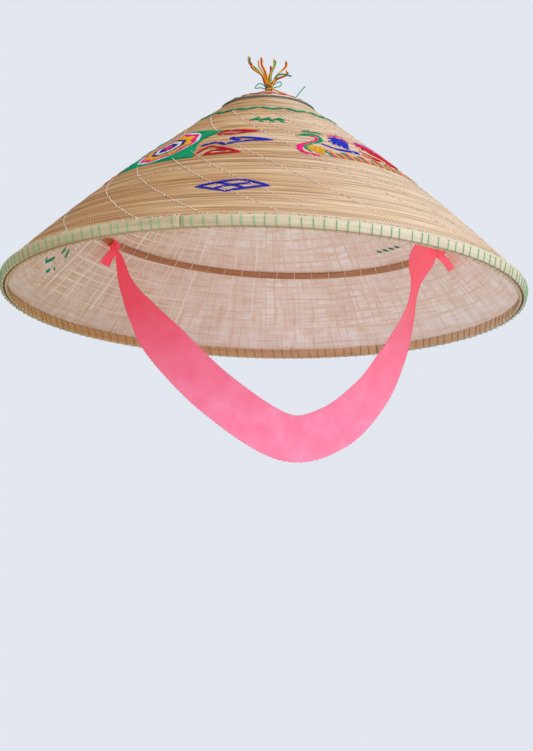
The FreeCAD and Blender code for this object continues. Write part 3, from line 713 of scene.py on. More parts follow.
def cone_skin(name, depth, thickness, row_pitch, relief, seed, outside):
    """A skin of the cone with rows in relief on its seen face, turned down between the hoops at the rim."""
    rng = np.random.default_rng(seed)
    bearings = station_bearings(STATIONS)
    inner = 0 if outside else thickness
    seen_depth = depth + inner
    back_depth = depth + thickness - inner
    corner = band_corner(HOOP_THICKNESS + GAP + seen_depth, seen_depth)
    end = slant_at(band(HOOP_THICKNESS + GAP + depth, corner)[0]) - 0.2 * MM
    rows = int(end / row_pitch)
    seen_slants = np.linspace(0, end, 2 * rows + 1)
    swell = wander(rng, bearings, 1, (2, 3, 5, 9)) * 0.10 * MM
    height = wander(rng, bearings, rows, (1, 3, 7, 17)) * 0.35 + rng.normal(0, 0.3, (rows, 1))
    lift = np.zeros((len(seen_slants), STATIONS))
    lift[1::2] = relief * (1 + 0.5 * height)
    lift = lift - relief * 0.6 + swell
    lift[0] = 0
    lift[-3:] *= 0.3
    sign = -1 if outside else 1
    radius, level = section(seen_slants[:, None], seen_depth + sign * lift)
    seen = turned(radius, level, bearings[None, :])
    back_slants = np.linspace(0, end, BACK_STEPS)
    back_radius, back_level = section(back_slants[:, None], back_depth)
    back = turned(back_radius, back_level, bearings[None, :])
    feet = [band(HOOP_THICKNESS + GAP + face_depth, EDGE_LEVEL) for face_depth in (seen_depth, back_depth)]
    skirt = [turned(*foot, bearings)[None] for foot in feet]
    rings = np.moveaxis(np.concatenate([seen, *skirt, back[::-1]]), 0, 1)
    slants = np.concatenate([seen_slants, [end + 6 * MM, end + 6 * MM], back_slants[::-1]])
    if not outside:
        rings = rings[:, ::-1]
        slants = slants[::-1]
    return skin_mesh(name, rings, True, {"along": np.broadcast_to(slants, rings.shape[:2])})


def make_cone():
    shell = cone_skin("outer_shell_weave", 0, SHELL_THICKNESS, ROW_PITCH, ROW_RELIEF, 3, True)
    finished(shell, [SHELL_LOOK], "shell_bamboo", "hat", "outer_shell")
    lining = cone_skin(
        "inner_lining_skin", LINING_DEPTH, LINING_THICKNESS, LINING_PITCH, LINING_RELIEF, 4, False)
    finished(lining, [LINING_LOOK], "lining_bamboo", "hat", "inner_lining")


STRIP_DEPTH = SKIN_DEPTH + 0.05 * MM
STRIP_HALF_HEIGHT = 0.06 * MM


def lay_strips_down(bundle, rng):
    """Strips that run down the slope, each drifting a little to the side."""
    count, steps = 96, 24
    bearings = station_bearings(count) + rng.uniform(-0.6, 0.6, count)
    start = rng.uniform(0.05, 0.25, count) * RIM_RADIUS
    end = rng.uniform(0.99, 1.03, count) * RIM_RADIUS
    slants = start[:, None] + (end - start)[:, None] * np.linspace(0, 1, steps)
    places = bearings[:, None] + np.cumsum(rng.normal(0, 0.2, (count, steps)), axis=1)
    width = rng.uniform(0.4, 1.1, count)[:, None] * MM * np.ones(steps)
    bundle.lay(places, slants, -STRIP_DEPTH - STRIP_HALF_HEIGHT, width, STRIP_HALF_HEIGHT, 4, -1)


def lay_strips_around(bundle, rng):
    """Strips that run round the lining in wavy rows."""
    rows, points = 26, 220
    slants = np.linspace(0.09, 0.99, rows) * RIM_RADIUS + rng.uniform(-2.4, 2.4, rows) * MM
    bearings = station_bearings(points)
    wave = wander(rng, bearings, rows, (1, 2, 4, 9)) * 0.6 * MM
    width = rng.uniform(0.4, 1.0, rows)[:, None] * MM * (1 + 0.3 * wander(rng, bearings, rows, (3, 7, 11)))
    places = np.broadcast_to(bearings, (rows, points))
    bundle.lay(places, slants[:, None] + wave, -STRIP_DEPTH, width, STRIP_HALF_HEIGHT, 4, -1, closed=True)


def make_lining_strips():
    """Flat strips woven over the inside of the lining."""
    rng = np.random.default_rng(21)
    bundle = Bundle()
    lay_strips_down(bundle, rng)
    lay_strips_around(bundle, rng)
    strips = bundle.build("lining_strips", [STRIP_LOOK], "lining_bamboo", "hat")
    strips.data.shade_flat()


def make_fringe():
    """Frayed ends of the radial splints, standing out just above the rim and mostly near the front."""
    rng = np.random.default_rng(33)
    most = 2300
    places = rng.uniform(0, 360, most)
    front = np.cos(np.radians(places - 12))
    places = places[rng.uniform(0, 1, most) < 0.20 + 0.75 * np.clip(front, 0, 1) ** 3]
    count = len(places)
    end = slant_at(band(HOOP_THICKNESS, HOOP_TOP)[0]) - 0.1 * MM
    length = rng.uniform(0.8, 2.4, count) * MM
    t = np.linspace(0, 1, 4)
    slants = end - length[:, None] * (1 - t) + rng.uniform(-0.2, 0.4, count)[:, None] * MM
    lean = rng.normal(0, 0.35, count)[:, None] * t
    lift = 0.05 * MM + rng.uniform(0.1, 0.75, count)[:, None] * MM * t ** 2
    width = rng.uniform(0.14, 0.28, count)[:, None] * MM
    bundle = Bundle()
    bundle.lay(places[:, None] + lean, slants, lift, width, 0.08 * MM, 4)
    fringe = bundle.build("shell_fringe", [FRINGE_LOOK], "shell_bamboo", "hat")
    fringe.data.shade_flat()


# Rim

def rounded_section(width, height, corner):
    """Outline of a strip's section with round corners: pairs of (across, up) about its centre."""
    steps = 3
    points = []
    for quarter in range(4):
        centre_x = (width / 2 - corner) * (1 if quarter in (0, 3) else -1)
        centre_y = (height / 2 - corner) * (1 if quarter in (0, 1) else -1)
        for step in range(steps + 1):
            angle = math.pi / 2 * (quarter + step / steps)
            points.append((centre_x + corner * math.cos(angle), centre_y + corner * math.sin(angle)))
    return np.array(points)


def rim_hoop(name, depth, drop, joint, look, node, seed):
    """A split bamboo strip bent round the rim, with rounded edges that waver a little."""
    rng = np.random.default_rng(seed)
    slit = math.degrees(0.5 * MM / RIM_RADIUS)
    bearings = np.linspace(joint + slit / 2, joint + 360 - slit / 2, 420)
    outline = rounded_section(HOOP_THICKNESS, HOOP_HEIGHT, 0.45 * MM)
    wave = wander(rng, bearings, 3, (3, 7, 13, 23))[:, :, None]
    middle = HOOP_FOOT - drop + HOOP_HEIGHT / 2 + 0.02 * MM * wave[1]
    levels = middle + outline[None, :, 1] * (1 + 0.012 * wave[0])
    depths = depth + HOOP_THICKNESS / 2 - outline[None, :, 0] * (1 + 0.03 * wave[2])
    radius, level = band(depths, levels)
    rings = turned(radius, level, bearings[:, None])
    along = np.broadcast_to(outline[:, 1] + outline[:, 0], rings.shape[:2])
    hoop = skin_mesh(name, rings, False, {"along": along})
    finished(hoop, [look], "hoop_bamboo", "hat", node)


def make_hoops():
    rim_hoop("rim_hoop_outer_strip", 0.0, 0.0, OUTER_HOOP_JOINT, OUTER_HOOP_LOOK, "rim_hoop_outer", 6)
    inner = RIM_DEPTH - HOOP_THICKNESS
    rim_hoop("rim_hoop_inner_strip", inner, INNER_HOOP_DROP, INNER_HOOP_JOINT, INNER_HOOP_LOOK,
             "rim_hoop_inner", 7)


def make_edge_cane():
    """A thin filler strip between the hoops, under the edges of the two skins, dark brown as painted shade of
    the gap.
    """
    outline = rounded_section(SKIN_DEPTH, 1.4 * MM, 0.5 * MM)
    depths = HOOP_THICKNESS + GAP + SKIN_DEPTH / 2 - outline[None, :, 0]
    radius, level = band(depths, EDGE_LEVEL + outline[None, :, 1])
    rings = turned(radius, level, station_bearings(360)[:, None])
    along = np.broadcast_to(outline[:, 1], rings.shape[:2])
    cane = skin_mesh("rim_edge_cane_strip", rings, True, {"along": along})
    finished(cane, [GAP_SHADE_CANE_LOOK], "cane_bamboo", "hat", "rim_edge_cane")


LACING_THREAD = 0.21 * MM  # radius of one ply
LACING_TWIST = 2.6 * MM
LACING_INSIDE_SHARE = 0.62  # the thread is pulled flatter on the inner hoop


def lacing_shape(count):
    """Points along one stitch, each a depth, a height and a share of the way to the next stitch."""
    off = 1.5 * LACING_THREAD
    middle = (HOOP_TOP + HOOP_FOOT) / 2
    inner_top = HOOP_TOP - INNER_HOOP_DROP
    inner_foot = HOOP_FOOT - INNER_HOOP_DROP
    corners = [
        (HOOP_THICKNESS + 0.3 * MM, HOOP_TOP + 0.9 * MM, 0.0),
        (HOOP_THICKNESS * 0.55, HOOP_TOP + 0.75 * off, 0.0),
        (HOOP_THICKNESS * 0.1, HOOP_TOP + 0.5 * off, 0.0),
        (-off, HOOP_TOP - 0.5 * MM, 0.0),
        (-off, middle, 0.02),
        (-off, HOOP_FOOT + 0.5 * MM, 0.05),
        (0.3 * MM, HOOP_FOOT - 0.35 * off, 0.08),
        (RIM_DEPTH / 2, HOOP_FOOT + 0.5 * MM, 0.16),
        (RIM_DEPTH - 0.3 * MM, inner_foot - 0.35 * off, 0.24),
        (RIM_DEPTH + off, inner_foot + 0.5 * MM, 0.27),
        (RIM_DEPTH + off, middle, 0.34),
        (RIM_DEPTH + off, inner_top - 0.8 * MM, 0.42),
        (RIM_DEPTH - 0.5 * MM, inner_top + 0.4 * off, 0.5),
        (RIM_DEPTH - HOOP_THICKNESS - 0.3 * MM, inner_top + 0.6 * MM, 0.56),
    ]
    return even(flowing(corners, 120), count)


def make_lacing():
    """Whip stitches of two-ply thread that wind round the rim: upright outside, slanting underneath."""
    rng = np.random.default_rng(5)
    count = 52
    depth, height, share = lacing_shape(count).T
    step = 360 / LACING_COUNT
    start = np.arange(LACING_COUNT) * step + rng.normal(0, 0.09 * step, LACING_COUNT)
    lean = rng.normal(0, 0.08, LACING_COUNT)
    bearings = start[:, None] + step * (share + lean[:, None] * np.linspace(-1, 1, count))
    radius, level = band(depth, height)
    paths = turned(radius[None, :], level[None, :], bearings)
    angle = np.radians(bearings)
    side = np.stack([np.cos(angle), np.sin(angle), np.zeros_like(angle)], axis=-1)
    outward = unit(np.cross(np.gradient(paths, axis=1), side))
    length = lengths_along(np.stack([radius, level], axis=-1))
    phase = 2 * math.pi * length / LACING_TWIST + rng.uniform(0, 2 * math.pi, LACING_COUNT)[:, None]
    ply_radius = LACING_THREAD * np.where(depth > RIM_DEPTH, LACING_INSIDE_SHARE, 1.0)
    bundle = Bundle()
    for ply in (0, math.pi):
        offset = np.cos(phase + ply)[..., None] * side + np.sin(phase + ply)[..., None] * outward
        bundle.add(paths + 0.8 * LACING_THREAD * offset, outward, ply_radius[None], sides=5)
    bundle.build("rim_lacing_stitches", [LACING_GREEN], "lacing_thread", "hat", "rim_lacing")


# Support hoop and quilting

def make_support():
    """The hoop inside the cone that stiffens it and holds the ribbon."""
    rng = np.random.default_rng(8)
    bearings = station_bearings(400)
    outline = rounded_section(SUPPORT_WIDTH, SUPPORT_THICKNESS, 0.5 * MM)
    wave = wander(rng, bearings, 1, (2, 5, 9))[0][:, None]
    slants = SUPPORT_SLANT + outline[None, :, 0] * (1 + 0.02 * wave)
    radius, level = section(slants, SUPPORT_DEPTH + SUPPORT_THICKNESS / 2 + outline[None, :, 1])
    rings = with_support(turned(radius, level, bearings[:, None]))[:, ::-1]
    along = np.broadcast_to(outline[::-1, 0], rings.shape[:2])
    hoop = skin_mesh("support_hoop_strip", rings, True, {"along": along})
    finished(hoop, [SUPPORT_LOOK], "support_bamboo", "hat", "support_hoop")


def near_knot(bearing):
    reach = math.degrees(1.5 * KNOT_RADIUS / SUPPORT_RADIUS)
    return any(abs(bearing - knot) < reach for knot in (LEFT_KNOT_BEARING, RIGHT_KNOT_BEARING))


def over_support(rise, middle=()):
    """Points over the support hoop as (slant, depth): up one side, then down the other as its mirror."""
    fall = [(-slant, depth) for slant, depth in reversed(rise)]
    return flowing(rise + list(middle) + fall, 60)


def support_loops(bundle):
    """Loops of thread over the support hoop."""
    count = 20
    step = 360 / SUPPORT_STITCH_COUNT
    near = SUPPORT_DEPTH - 0.4 * MM
    far = SUPPORT_DEPTH + SUPPORT_THICKNESS + 0.15 * MM
    half = SUPPORT_WIDTH / 2 + 0.15 * MM
    rise = [(-half, near), (-half, far - 0.5 * MM), (-half + 0.6 * MM, far)]
    slant, depth = even(over_support(rise, [(0, far + 0.1 * MM)]), count).T
    middles = [step * (i + 0.5) for i in range(SUPPORT_STITCH_COUNT)]
    bearings = np.array([middle for middle in middles if not near_knot(middle)])
    places = bearings[:, None] + np.linspace(-0.25, 0.25, count)
    radius, level = section(SUPPORT_SLANT + slant, depth)
    paths = with_support(turned(radius, level, places))
    axis = with_support(turned(0.0, SUPPORT_LEVEL, places))
    bundle.add(paths, unit(axis - paths), 0.34 * MM, 0.24 * MM)


def support_dashes(bundle):
    """The short stitches that the loops make outside."""
    rng = np.random.default_rng(9)
    count = 4 * SUPPORT_STITCH_COUNT
    middles = station_bearings(count) + rng.normal(0, 0.1, count)
    t = np.linspace(-1, 1, 7)
    half_turn = math.degrees(1.2 * MM / SUPPORT_RADIUS)
    slants = SUPPORT_SLANT + rng.normal(0, 0.2, (count, 1)) * MM + 0 * t
    lift = (0.30 - 0.5 * np.abs(t) ** 3) * MM
    bundle.lay(middles[:, None] + half_turn * t, slants, lift, 0.28 * MM, 0.2 * MM)


def make_support_stitches():
    bundle = Bundle()
    support_loops(bundle)
    support_dashes(bundle)
    bundle.build("support_hoop_threads", [CREAM], "white_thread", "hat", "support_hoop_stitches")


QUILT_LINES = 24
QUILT_TURN = 60.0  # degrees that a line turns over one rim radius of slant
QUILT_CURL = 10.0  # further turn in degrees, over a slant that grows e times longer
QUILT_START = 0.150 * RIM_RADIUS
QUILT_END = slant_at(band(HOOP_THICKNESS, HOOP_TOP)[0]) - 1.5 * MM
QUILT_FIRST = -14.3  # bearing where the first line starts
QUILT_PITCH = 4.6 * MM
QUILT_DASH = 3.4 * MM
QUILT_SHIFTS = {17: -1.7, 18: 0.8, 19: 1.8, 20: 2.8, 21: -4.6, 23: 3.3}  # degrees that hand-sewn lines stray


def make_quilting():
    """Running stitches in spiral lines down the cone."""
    rng = np.random.default_rng(13)
    slants_used, places_used = [], []
    t = np.linspace(-0.5, 0.5, 6)
    for line in range(QUILT_LINES):
        bearing = QUILT_FIRST + 360 * line / QUILT_LINES + QUILT_SHIFTS.get(line, 0.0)
        slant = QUILT_START + rng.uniform(0, 1) * QUILT_PITCH
        drift = 0.0
        while slant < QUILT_END:
            rate = QUILT_TURN / RIM_RADIUS + QUILT_CURL / slant
            stretch = math.hypot(1, math.radians(rate) * float(section(slant)[0]))
            step = QUILT_PITCH / stretch
            dash = QUILT_DASH / stretch * rng.uniform(0.85, 1.15)
            drift += rng.normal(0, 0.08)
            slants_used.append(slant + dash * t)
            places_used.append(bearing + drift + rate * dash * t)
            slant += step
            bearing += rate * step
    lift = (0.34 - 0.45 * np.abs(2 * t) ** 3) * MM
    bundle = Bundle()
    bundle.lay(np.array(places_used), np.array(slants_used), lift, 0.34 * MM, 0.22 * MM)
    bundle.build("spiral_quilting", [CREAM], "white_thread", "hat", "spiral_stitches")


# Crown

CAP_CURVE = 1.05  # 1 is a straight cone
CAP_FOOT = CAP_LOW.z + 1.0 * MM
CAP_ROWS = 46
CAP_STATIONS = 180
CAP_THICKNESS = 0.9 * MM


def cap_section(share):
    """Radius and height of the cap's top, at a share of its radius."""
    return CAP_HIGH.x * share, CAP_FOOT + (CAP_HIGH.z - CAP_FOOT) * (1 - share ** CAP_CURVE)


def make_cap():
    """A small woven cap with rows in relief."""
    rng = np.random.default_rng(17)
    bearings = station_bearings(CAP_STATIONS)
    radius, level = cap_section(np.linspace(1, 0.02, CAP_ROWS))
    ridge = np.zeros((CAP_ROWS, CAP_STATIONS))
    ridge[1::2] = 0.22 * MM * (1 + 0.3 * wander(rng, bearings, CAP_ROWS // 2, (2, 5, 11)))
    top = turned(radius[:, None], level[:, None] + ridge - 0.1 * MM, bearings[None, :])
    under_radius, under_level = cap_section(np.linspace(0.02, 1, 10))
    under = turned(under_radius[:, None] * 0.995, under_level[:, None] - CAP_THICKNESS, bearings[None, :])
    rings = np.moveaxis(np.concatenate([top, under]), 0, 1)
    along = np.concatenate([np.linspace(0, 1, CAP_ROWS), np.linspace(1, 0, 10)]) * 36 * MM
    cap = skin_mesh("crown_cap_weave", rings, True, {"along": np.broadcast_to(along, rings.shape[:2])})
    finished(cap, [SHELL_LOOK], "cap_bamboo", "hat", "crown_cap")


def make_ring():
    """The wire ring round the cap, wrapped closely with thread."""
    centre_radius = (RING_HIGH.x - RING_LOW.x) / 2 - (RING_HIGH.z - RING_LOW.z) / 2
    level = (RING_LOW.z + RING_HIGH.z) / 2 - 0.3 * MM
    core = 0.42 * MM
    wraps, points_each = 190, 12
    bearing = station_bearings(wraps * points_each)
    angle = np.radians(bearing * wraps)
    path = turned(centre_radius + core * np.cos(angle), level + core * np.sin(angle), bearing)[None]
    centre = turned(centre_radius, level, bearing)[None]
    bundle = Bundle()
    bundle.add(path, unit(path - centre), 0.38 * MM, 0.26 * MM, 5, closed=True)
    core_ring = turned(centre_radius, level, station_bearings(160))[None]
    bundle.add(core_ring, np.broadcast_to(UP, core_ring.shape), core, sides=8, closed=True)
    bundle.build("crown_ring_wrap", [RING_GREY], "ring_thread", "hat", "crown_ring")


def make_crown_stitches():
    """Running stitches in pink and red round the cap."""
    rng = np.random.default_rng(19)
    bundle = Bundle()
    t = np.linspace(-1, 1, 8)
    for row, share in enumerate((0.88, 0.66)):
        count = 20 - 4 * row
        middles = station_bearings(count) + 9 * row + rng.normal(0, 1.0, count)
        places = middles[:, None] + math.degrees(2.6 * MM / (CAP_HIGH.x * share)) * t
        shares = share + rng.normal(0, 0.012, (count, 1)) * t
        lift = (0.55 - 0.6 * np.abs(t) ** 3) * MM
        for strand in (-1, 1):
            radius, level = cap_section(shares + strand * 0.012)
            paths = turned(radius, level + lift, places)
            bundle.add(paths, np.broadcast_to(UP, paths.shape), 0.42 * MM, 0.3 * MM, colour=row)
    bundle.build("crown_running_stitches", [RED, PINK], "red_thread", "hat", "crown_stitches")


# Tassel

STRAND = 0.56 * MM
THIN_STRAND = 0.36 * MM


def tassel_strand(bundle, points, shade, radius=STRAND):
    """A loose thread through points given from the knot's centre, in millimetres: right, back and up."""
    path = KNOT_CENTRE + even(flowing(points, 60), 22) * MM
    taper = radius * np.concatenate([np.linspace(0.8, 1, 4), np.ones(14), [1, 1.05, 1.1, 0.8]])
    away = unit(np.cross(np.gradient(path, axis=0), [0.3, 0.9, 0.1]))
    bundle.add(path[None], away[None], taper[None], sides=8, colour=shade)


TASSEL_FANS = [  # tip right, tip back, height, bend and colours
    (-15.6, 1.5, 23.6, -2.6, "yg"),
    (-13.6, -2.0, 17.5, -1.8, "ry"),
    (-6.2, 2.5, 23.0, -0.6, "ry"),
    (-8.0, -3.0, 18.4, -1.0, "y"),
    (3.4, 0.5, 21.4, 1.0, "yg"),
    (1.0, 3.5, 17.0, 0.6, "rg"),
    (12.4, -1.0, 19.4, 2.2, "ry"),
    (12.8, 3.0, 13.5, 3.0, "yr"),
]


def make_tassel():
    """Loose ends of coloured thread that stand up from the knot."""
    rng = np.random.default_rng(23)
    bundles = {"y": Bundle(), "r": Bundle(), "g": Bundle()}
    for right, back, height, bend, shades in TASSEL_FANS:
        for index, shade in enumerate(shades):
            jog = rng.normal(0, 0.35, 3)
            gap = 0.75 * index
            points = [
                (0.12 * right + gap, 0.2 * back, -1.0),
                (0.20 * right + gap, 0.3 * back, 2.0),
                (0.42 * right + gap + jog[0], 0.5 * back + jog[1], 0.45 * height),
                (0.88 * right + gap + bend * 0.3, 0.9 * back + jog[2], 0.74 * height),
                (0.98 * right + gap * 1.6, back + jog[0], (1.0 - 0.07 * index) * height),
            ]
            tassel_strand(bundles[shade], points, 0)
    drooping = [(1.5, 1, 0), (3.5, 0, 4), (6.5, -1, 8.2), (11, -1.5, 8.8), (16.5, -1, 7.6)]
    tassel_strand(bundles["g"], drooping, 0)
    for key, look, shade in (("y", YELLOW, "yellow"), ("r", RED, "red"), ("g", GREEN, "green")):
        name = "tassel_" + shade
        bundles[key].build(name + "_threads", [look], shade + "_thread", "tassel", name)


def make_knot():
    """The tassel's knot: turns of thread wound over each other, with loose loops and ends at its foot."""
    bundle = Bundle()
    size = 2.2 * MM
    t = np.linspace(0, 2 * math.pi, 40, endpoint=False)
    for index in range(7):
        tilt = math.radians(25 * math.sin(2.1 * index))
        height = size * math.sin(tilt) * np.cos(t + index) + (0.75 * index - 3.7) * MM
        ring = np.stack([size * np.cos(t), size * np.sin(t), height], axis=-1)
        path = (KNOT_CENTRE + ring)[None]
        bundle.add(path, unit(ring)[None], 0.5 * MM, sides=7, closed=True, colour=index % 3)
    left_loop = [
        (-2, 0, -1),
        (-6, -1, 1.5),
        (-9, -1.5, -0.5),
        (-9.5, -2, -2.8),
        (-6, -1, -1.8),
        (-2, 0, -2.4),
    ]
    right_loop = [
        (2, 0, -1),
        (6, -0.5, 2.8),
        (9, -1.5, 2.5),
        (8.5, -2, -0.5),
        (5, -1, -1.2),
        (2, 0, -2),
    ]
    loose_end = [(19, -8, -12.0), (21, -8, -9.6), (23.5, -7.5, -5.8), (26.5, -7, -2.0)]
    slope = [
        (1.5, -1.5, -2.0),
        (6, -3.5, -4.6),
        (11, -5.5, -7.4),
        (16, -7, -10.0),
        (20.5, -8.5, -12.5),
        (24, -10, -14.6),
    ]
    tassel_strand(bundle, left_loop, 1, THIN_STRAND)
    tassel_strand(bundle, right_loop, 1, THIN_STRAND)
    tassel_strand(bundle, slope, 2)
    tassel_strand(bundle, [(right + 0.2, back + 1.0, up + 0.1) for right, back, up in slope[:4]], 0)
    tassel_strand(bundle, loose_end, 1, THIN_STRAND)
    bundle.build("tassel_knot_wraps", [RED, GREEN, YELLOW], "yellow_thread", "hat", "tassel_knot")


# Embroidery: straight threads drawn flat in millimetres, x round the hat and y up the slope

SATIN_PITCH = 0.5  # millimetres
PETALS = 8
SATIN_HALF_WIDTH = 0.36 * MM


def rotation(angle):
    cosine, sine = math.cos(math.radians(angle)), math.sin(math.radians(angle))
    return np.array([[cosine, sine], [-sine, cosine]])


def placed(points, angle=0.0, flip=1):
    """Flat points, mirrored in x if flip is -1 and turned by an angle."""
    return np.asarray(points, float) * (flip, 1) @ rotation(angle)


def satin(outlines, angle, pitch=SATIN_PITCH):
    """Parallel threads at an angle that fill closed outlines. An outline inside another leaves a hole."""
    turn = rotation(-angle)
    edges = []
    for outline in outlines:
        points = np.asarray(outline, float) @ turn
        edges.append(np.stack([points, np.roll(points, -1, axis=0)], axis=1))
    edges = np.concatenate(edges)
    found = []
    for level in np.arange(edges[..., 1].min() + pitch / 2, edges[..., 1].max(), pitch):
        a, b = edges[:, 0], edges[:, 1]
        crossing = (a[:, 1] <= level) != (b[:, 1] <= level)
        a, b = a[crossing], b[crossing]
        x = np.sort(a[:, 0] + (level - a[:, 1]) / (b[:, 1] - a[:, 1]) * (b[:, 0] - a[:, 0]))
        found += [((x[i], level), (x[i + 1], level)) for i in range(0, len(x) - 1, 2)]
    return np.array(found) @ turn.T


def column(path, widths, pitch=SATIN_PITCH):
    """Short threads laid side by side across a path, as wide as the widths given along it."""
    path = np.asarray(path, float)
    count = max(3, int(lengths_along(path)[-1] / pitch))
    centre = even(path, count)
    ahead = unit(np.gradient(centre, axis=0))
    across = np.stack([-ahead[:, 1], ahead[:, 0]], axis=-1)
    width = np.interp(np.linspace(0, 1, count), np.linspace(0, 1, len(widths)), widths)
    half = across * width[:, None] / 2
    return np.stack([centre - half, centre + half], axis=1)


def strands(path, width, count=4):
    """Long straight stitches laid side by side along each leg of a path."""
    path = np.asarray(path, float)
    found = []
    for start, end in zip(path, path[1:]):
        ahead = unit(end - start)
        across = np.array([-ahead[1], ahead[0]])
        for place in np.linspace(-0.5, 0.5, count):
            overlap = ahead * (0.55 - 0.3 * abs(place))
            found.append((start + across * place * width - overlap, end + across * place * width + overlap))
    return np.array(found)


def spokes(inner, outer, count):
    """Threads from one closed curve to another."""
    return np.stack([ring_curve(inner, count), ring_curve(outer, count)], axis=1)


def round_outline(radius, bump=0.0):
    """A circle of points, with a bump towards each of the flower's petals."""
    angle = np.radians(station_bearings(8 * PETALS))
    reach = radius + bump * np.cos(PETALS * angle)
    return np.stack([reach * np.cos(angle), reach * np.sin(angle)], axis=-1)


def sew(name, slot, node, places, stitches, seed):
    """Lays flat threads, pairs of (material, ends), on the cone at each place (bearing, slant share)."""
    rng = np.random.default_rng(seed)
    bundle = Bundle()
    looks = []
    t = np.linspace(0, 1, 6)
    swell = 0.55 + 0.45 * np.sin(math.pi * t) ** 0.4
    for look, ends in stitches:
        if look not in looks:
            looks.append(look)
        ends = np.asarray(ends) + rng.normal(0, 0.09, np.shape(ends))
        length = np.linalg.norm(ends[:, 1] - ends[:, 0], axis=-1)
        flat = ends[:, :1] * (1 - t)[None, :, None] + ends[:, 1:] * t[None, :, None]
        bow = np.clip(0.05 * length, 0.05, 0.4)[:, None] * np.sin(math.pi * t) ** 0.6
        lift = (0.12 + bow + rng.uniform(0, 0.12, (len(ends), 1)) - 0.3 * np.abs(2 * t - 1) ** 6) * MM
        width = SATIN_HALF_WIDTH * swell * rng.uniform(0.9, 1.1, (len(ends), 1))
        for bearing, share in places:
            slants = share * RIM_RADIUS - flat[..., 1] * MM
            bearings = bearing + np.degrees(flat[..., 0] * MM / section(slants)[0])
            bundle.lay(bearings, slants, lift, width, 0.72 * width, 5, colour=looks.index(look))
    bundle.build(name, looks, slot, "hat", node)


FLOWERS = ((-41.8, 0.480), (138.2, 0.480))
BIRDS = ((37.0, 0.500), (217.0, 0.500))
BLUE_LATTICES = ((-8.0, 0.884), (172.0, 0.884))
GREEN_LATTICES = ((82.0, 0.884), (262.0, 0.884))
SPRIG = (-0.5, 0.283)
ZIGZAG_COUNT = 19
ZIGZAG_FIRST = -6.6  # bearing of an upper corner
ZIGZAG_SLANT = 0.150 * RIM_RADIUS


def star_outline():
    """The flower's ground: four points joined by sides that curve inwards."""
    tips = [(33, 19), (-27, 20), (-38, -24), (38, -27)]
    waists = [(1, 25), (-26.5, 0), (0, -25.5), (26.5, 0)]
    points = []
    for tip, waist, following in zip(tips, waists, tips[1:] + tips[:1]):
        points += list(flowing([tip, waist, following], 14))[:-1]
    return np.array(points)


def make_flowers():
    """A round flower of eight petals in rings of satin stitches, on a green ground with four points."""
    edge = round_outline(23.4, 0.25)
    star = [star_outline(), edge]
    ground = [(GREEN, satin(star, 58)), (DEEP_GREEN, satin(star, 58, 2.3))]
    sew("flower_ground_satin", "green_thread", "flower_ground", FLOWERS, ground, 41)
    petals = [
        (WHITE, spokes(round_outline(21.4, 0.9), edge, 330)),
        (PINK, spokes(round_outline(18.4, 1.5), round_outline(21.4, 0.9), 280)),
        (YELLOW, spokes(round_outline(12.6), round_outline(18.2, 1.7), 220)),
    ]
    for i in range(PETALS):
        wedge = placed([(13.2, 0), (19.0, 0)], angle=-(i + 0.5) * 360 / PETALS)
        petals.append((PINK, column(wedge, [0.8, 2.8])))
    sew("flower_petals_satin", "yellow_thread", "flower_petals", FLOWERS, petals, 42)
    ring = [
        (DARK_BLUE, spokes(round_outline(10.4, 0.4), round_outline(12.6, 0.6), 150)),
        (WHITE, spokes(round_outline(6.9), round_outline(10.2, 0.4), 110)),
        (DARK_BLUE, spokes(round_outline(3.8), round_outline(6.8), 70)),
    ]
    sew("flower_ring_satin", "blue_thread", "flower_ring", FLOWERS, ring, 43)
    heart = [(PINK, satin([round_outline(3.8)], 20))]
    sew("flower_heart_satin", "pink_thread", "flower_heart", FLOWERS, heart, 44)


def make_leaves():
    """Open leaves of a few long stitches on both sides of each flower."""
    upper = [(35, 9.5), (34, 15.5), (39, 16.2), (59.5, 14.2), (46.5, 9.3), (36, 9.5)]
    lower = [(37, -24), (40.5, -10.5), (45, -12), (69, -23.8), (44.5, -25), (48, -18), (57, -20)]
    middle = [(57, -2.5), (47.5, 0.5), (50, 3.3), (79, -2.3), (57.5, -5), (51, -8.8)]
    long_dash = [(33, -8.5), (37.5, -6.2), (42, -4.5)]
    short_dash = [(43, -5), (50.5, -9.5)]
    red, blue = [], []
    for flip in (1, -1):
        red += [(RED, strands(placed(line, flip=flip), 1.5, 4)) for line in (upper, lower)]
        blue += [(BLUE, strands(placed(line, flip=flip), 1.5, 4)) for line in (middle, long_dash, short_dash)]
    sew("leaf_lines_red", "red_thread", "leaf_outlines_red", FLOWERS, red, 45)
    sew("leaf_lines_blue", "blue_thread", "leaf_outlines_blue", FLOWERS, blue, 46)


def feather(look, points, count, widths):
    """A satin column along a smooth curve through the points."""
    return look, column(flowing(points, count), widths)


def make_bird_head():
    beak = np.array([(-42, 13.2), (-36, 16.4), (-29, 19), (-24, 17.6), (-28, 14.6), (-35, 13.6)])
    neck = [(-27, 18.4), (-23.8, 14.8), (-26, 8.4), (-34, 2.4), (-42.5, -3.5), (-45, -9), (-44, -14)]
    front = [(-33, 15), (-27.5, 13.2), (-29, 8), (-38, 1), (-46, -4), (-50.5, -10), (-49.5, -16.5)]
    front.append((-41, -19.5))
    stitches = [
        (GREEN, satin([beak], 0)),
        feather(GREEN, neck, 60, [2.6, 2.8, 2.8, 2.4, 2.2, 1.6]),
        feather(PINK, front, 70, [1.6, 2.6, 3.0, 3.2, 3.8, 4.2, 3.8, 1.6]),
        (GREEN, strands([(-33, 21.8), (-25.5, 22.4), (-18.5, 20.6)], 1.0, 2)),
    ]
    sew("bird_neck_satin", "green_thread", "bird_neck", BIRDS, stitches, 51)


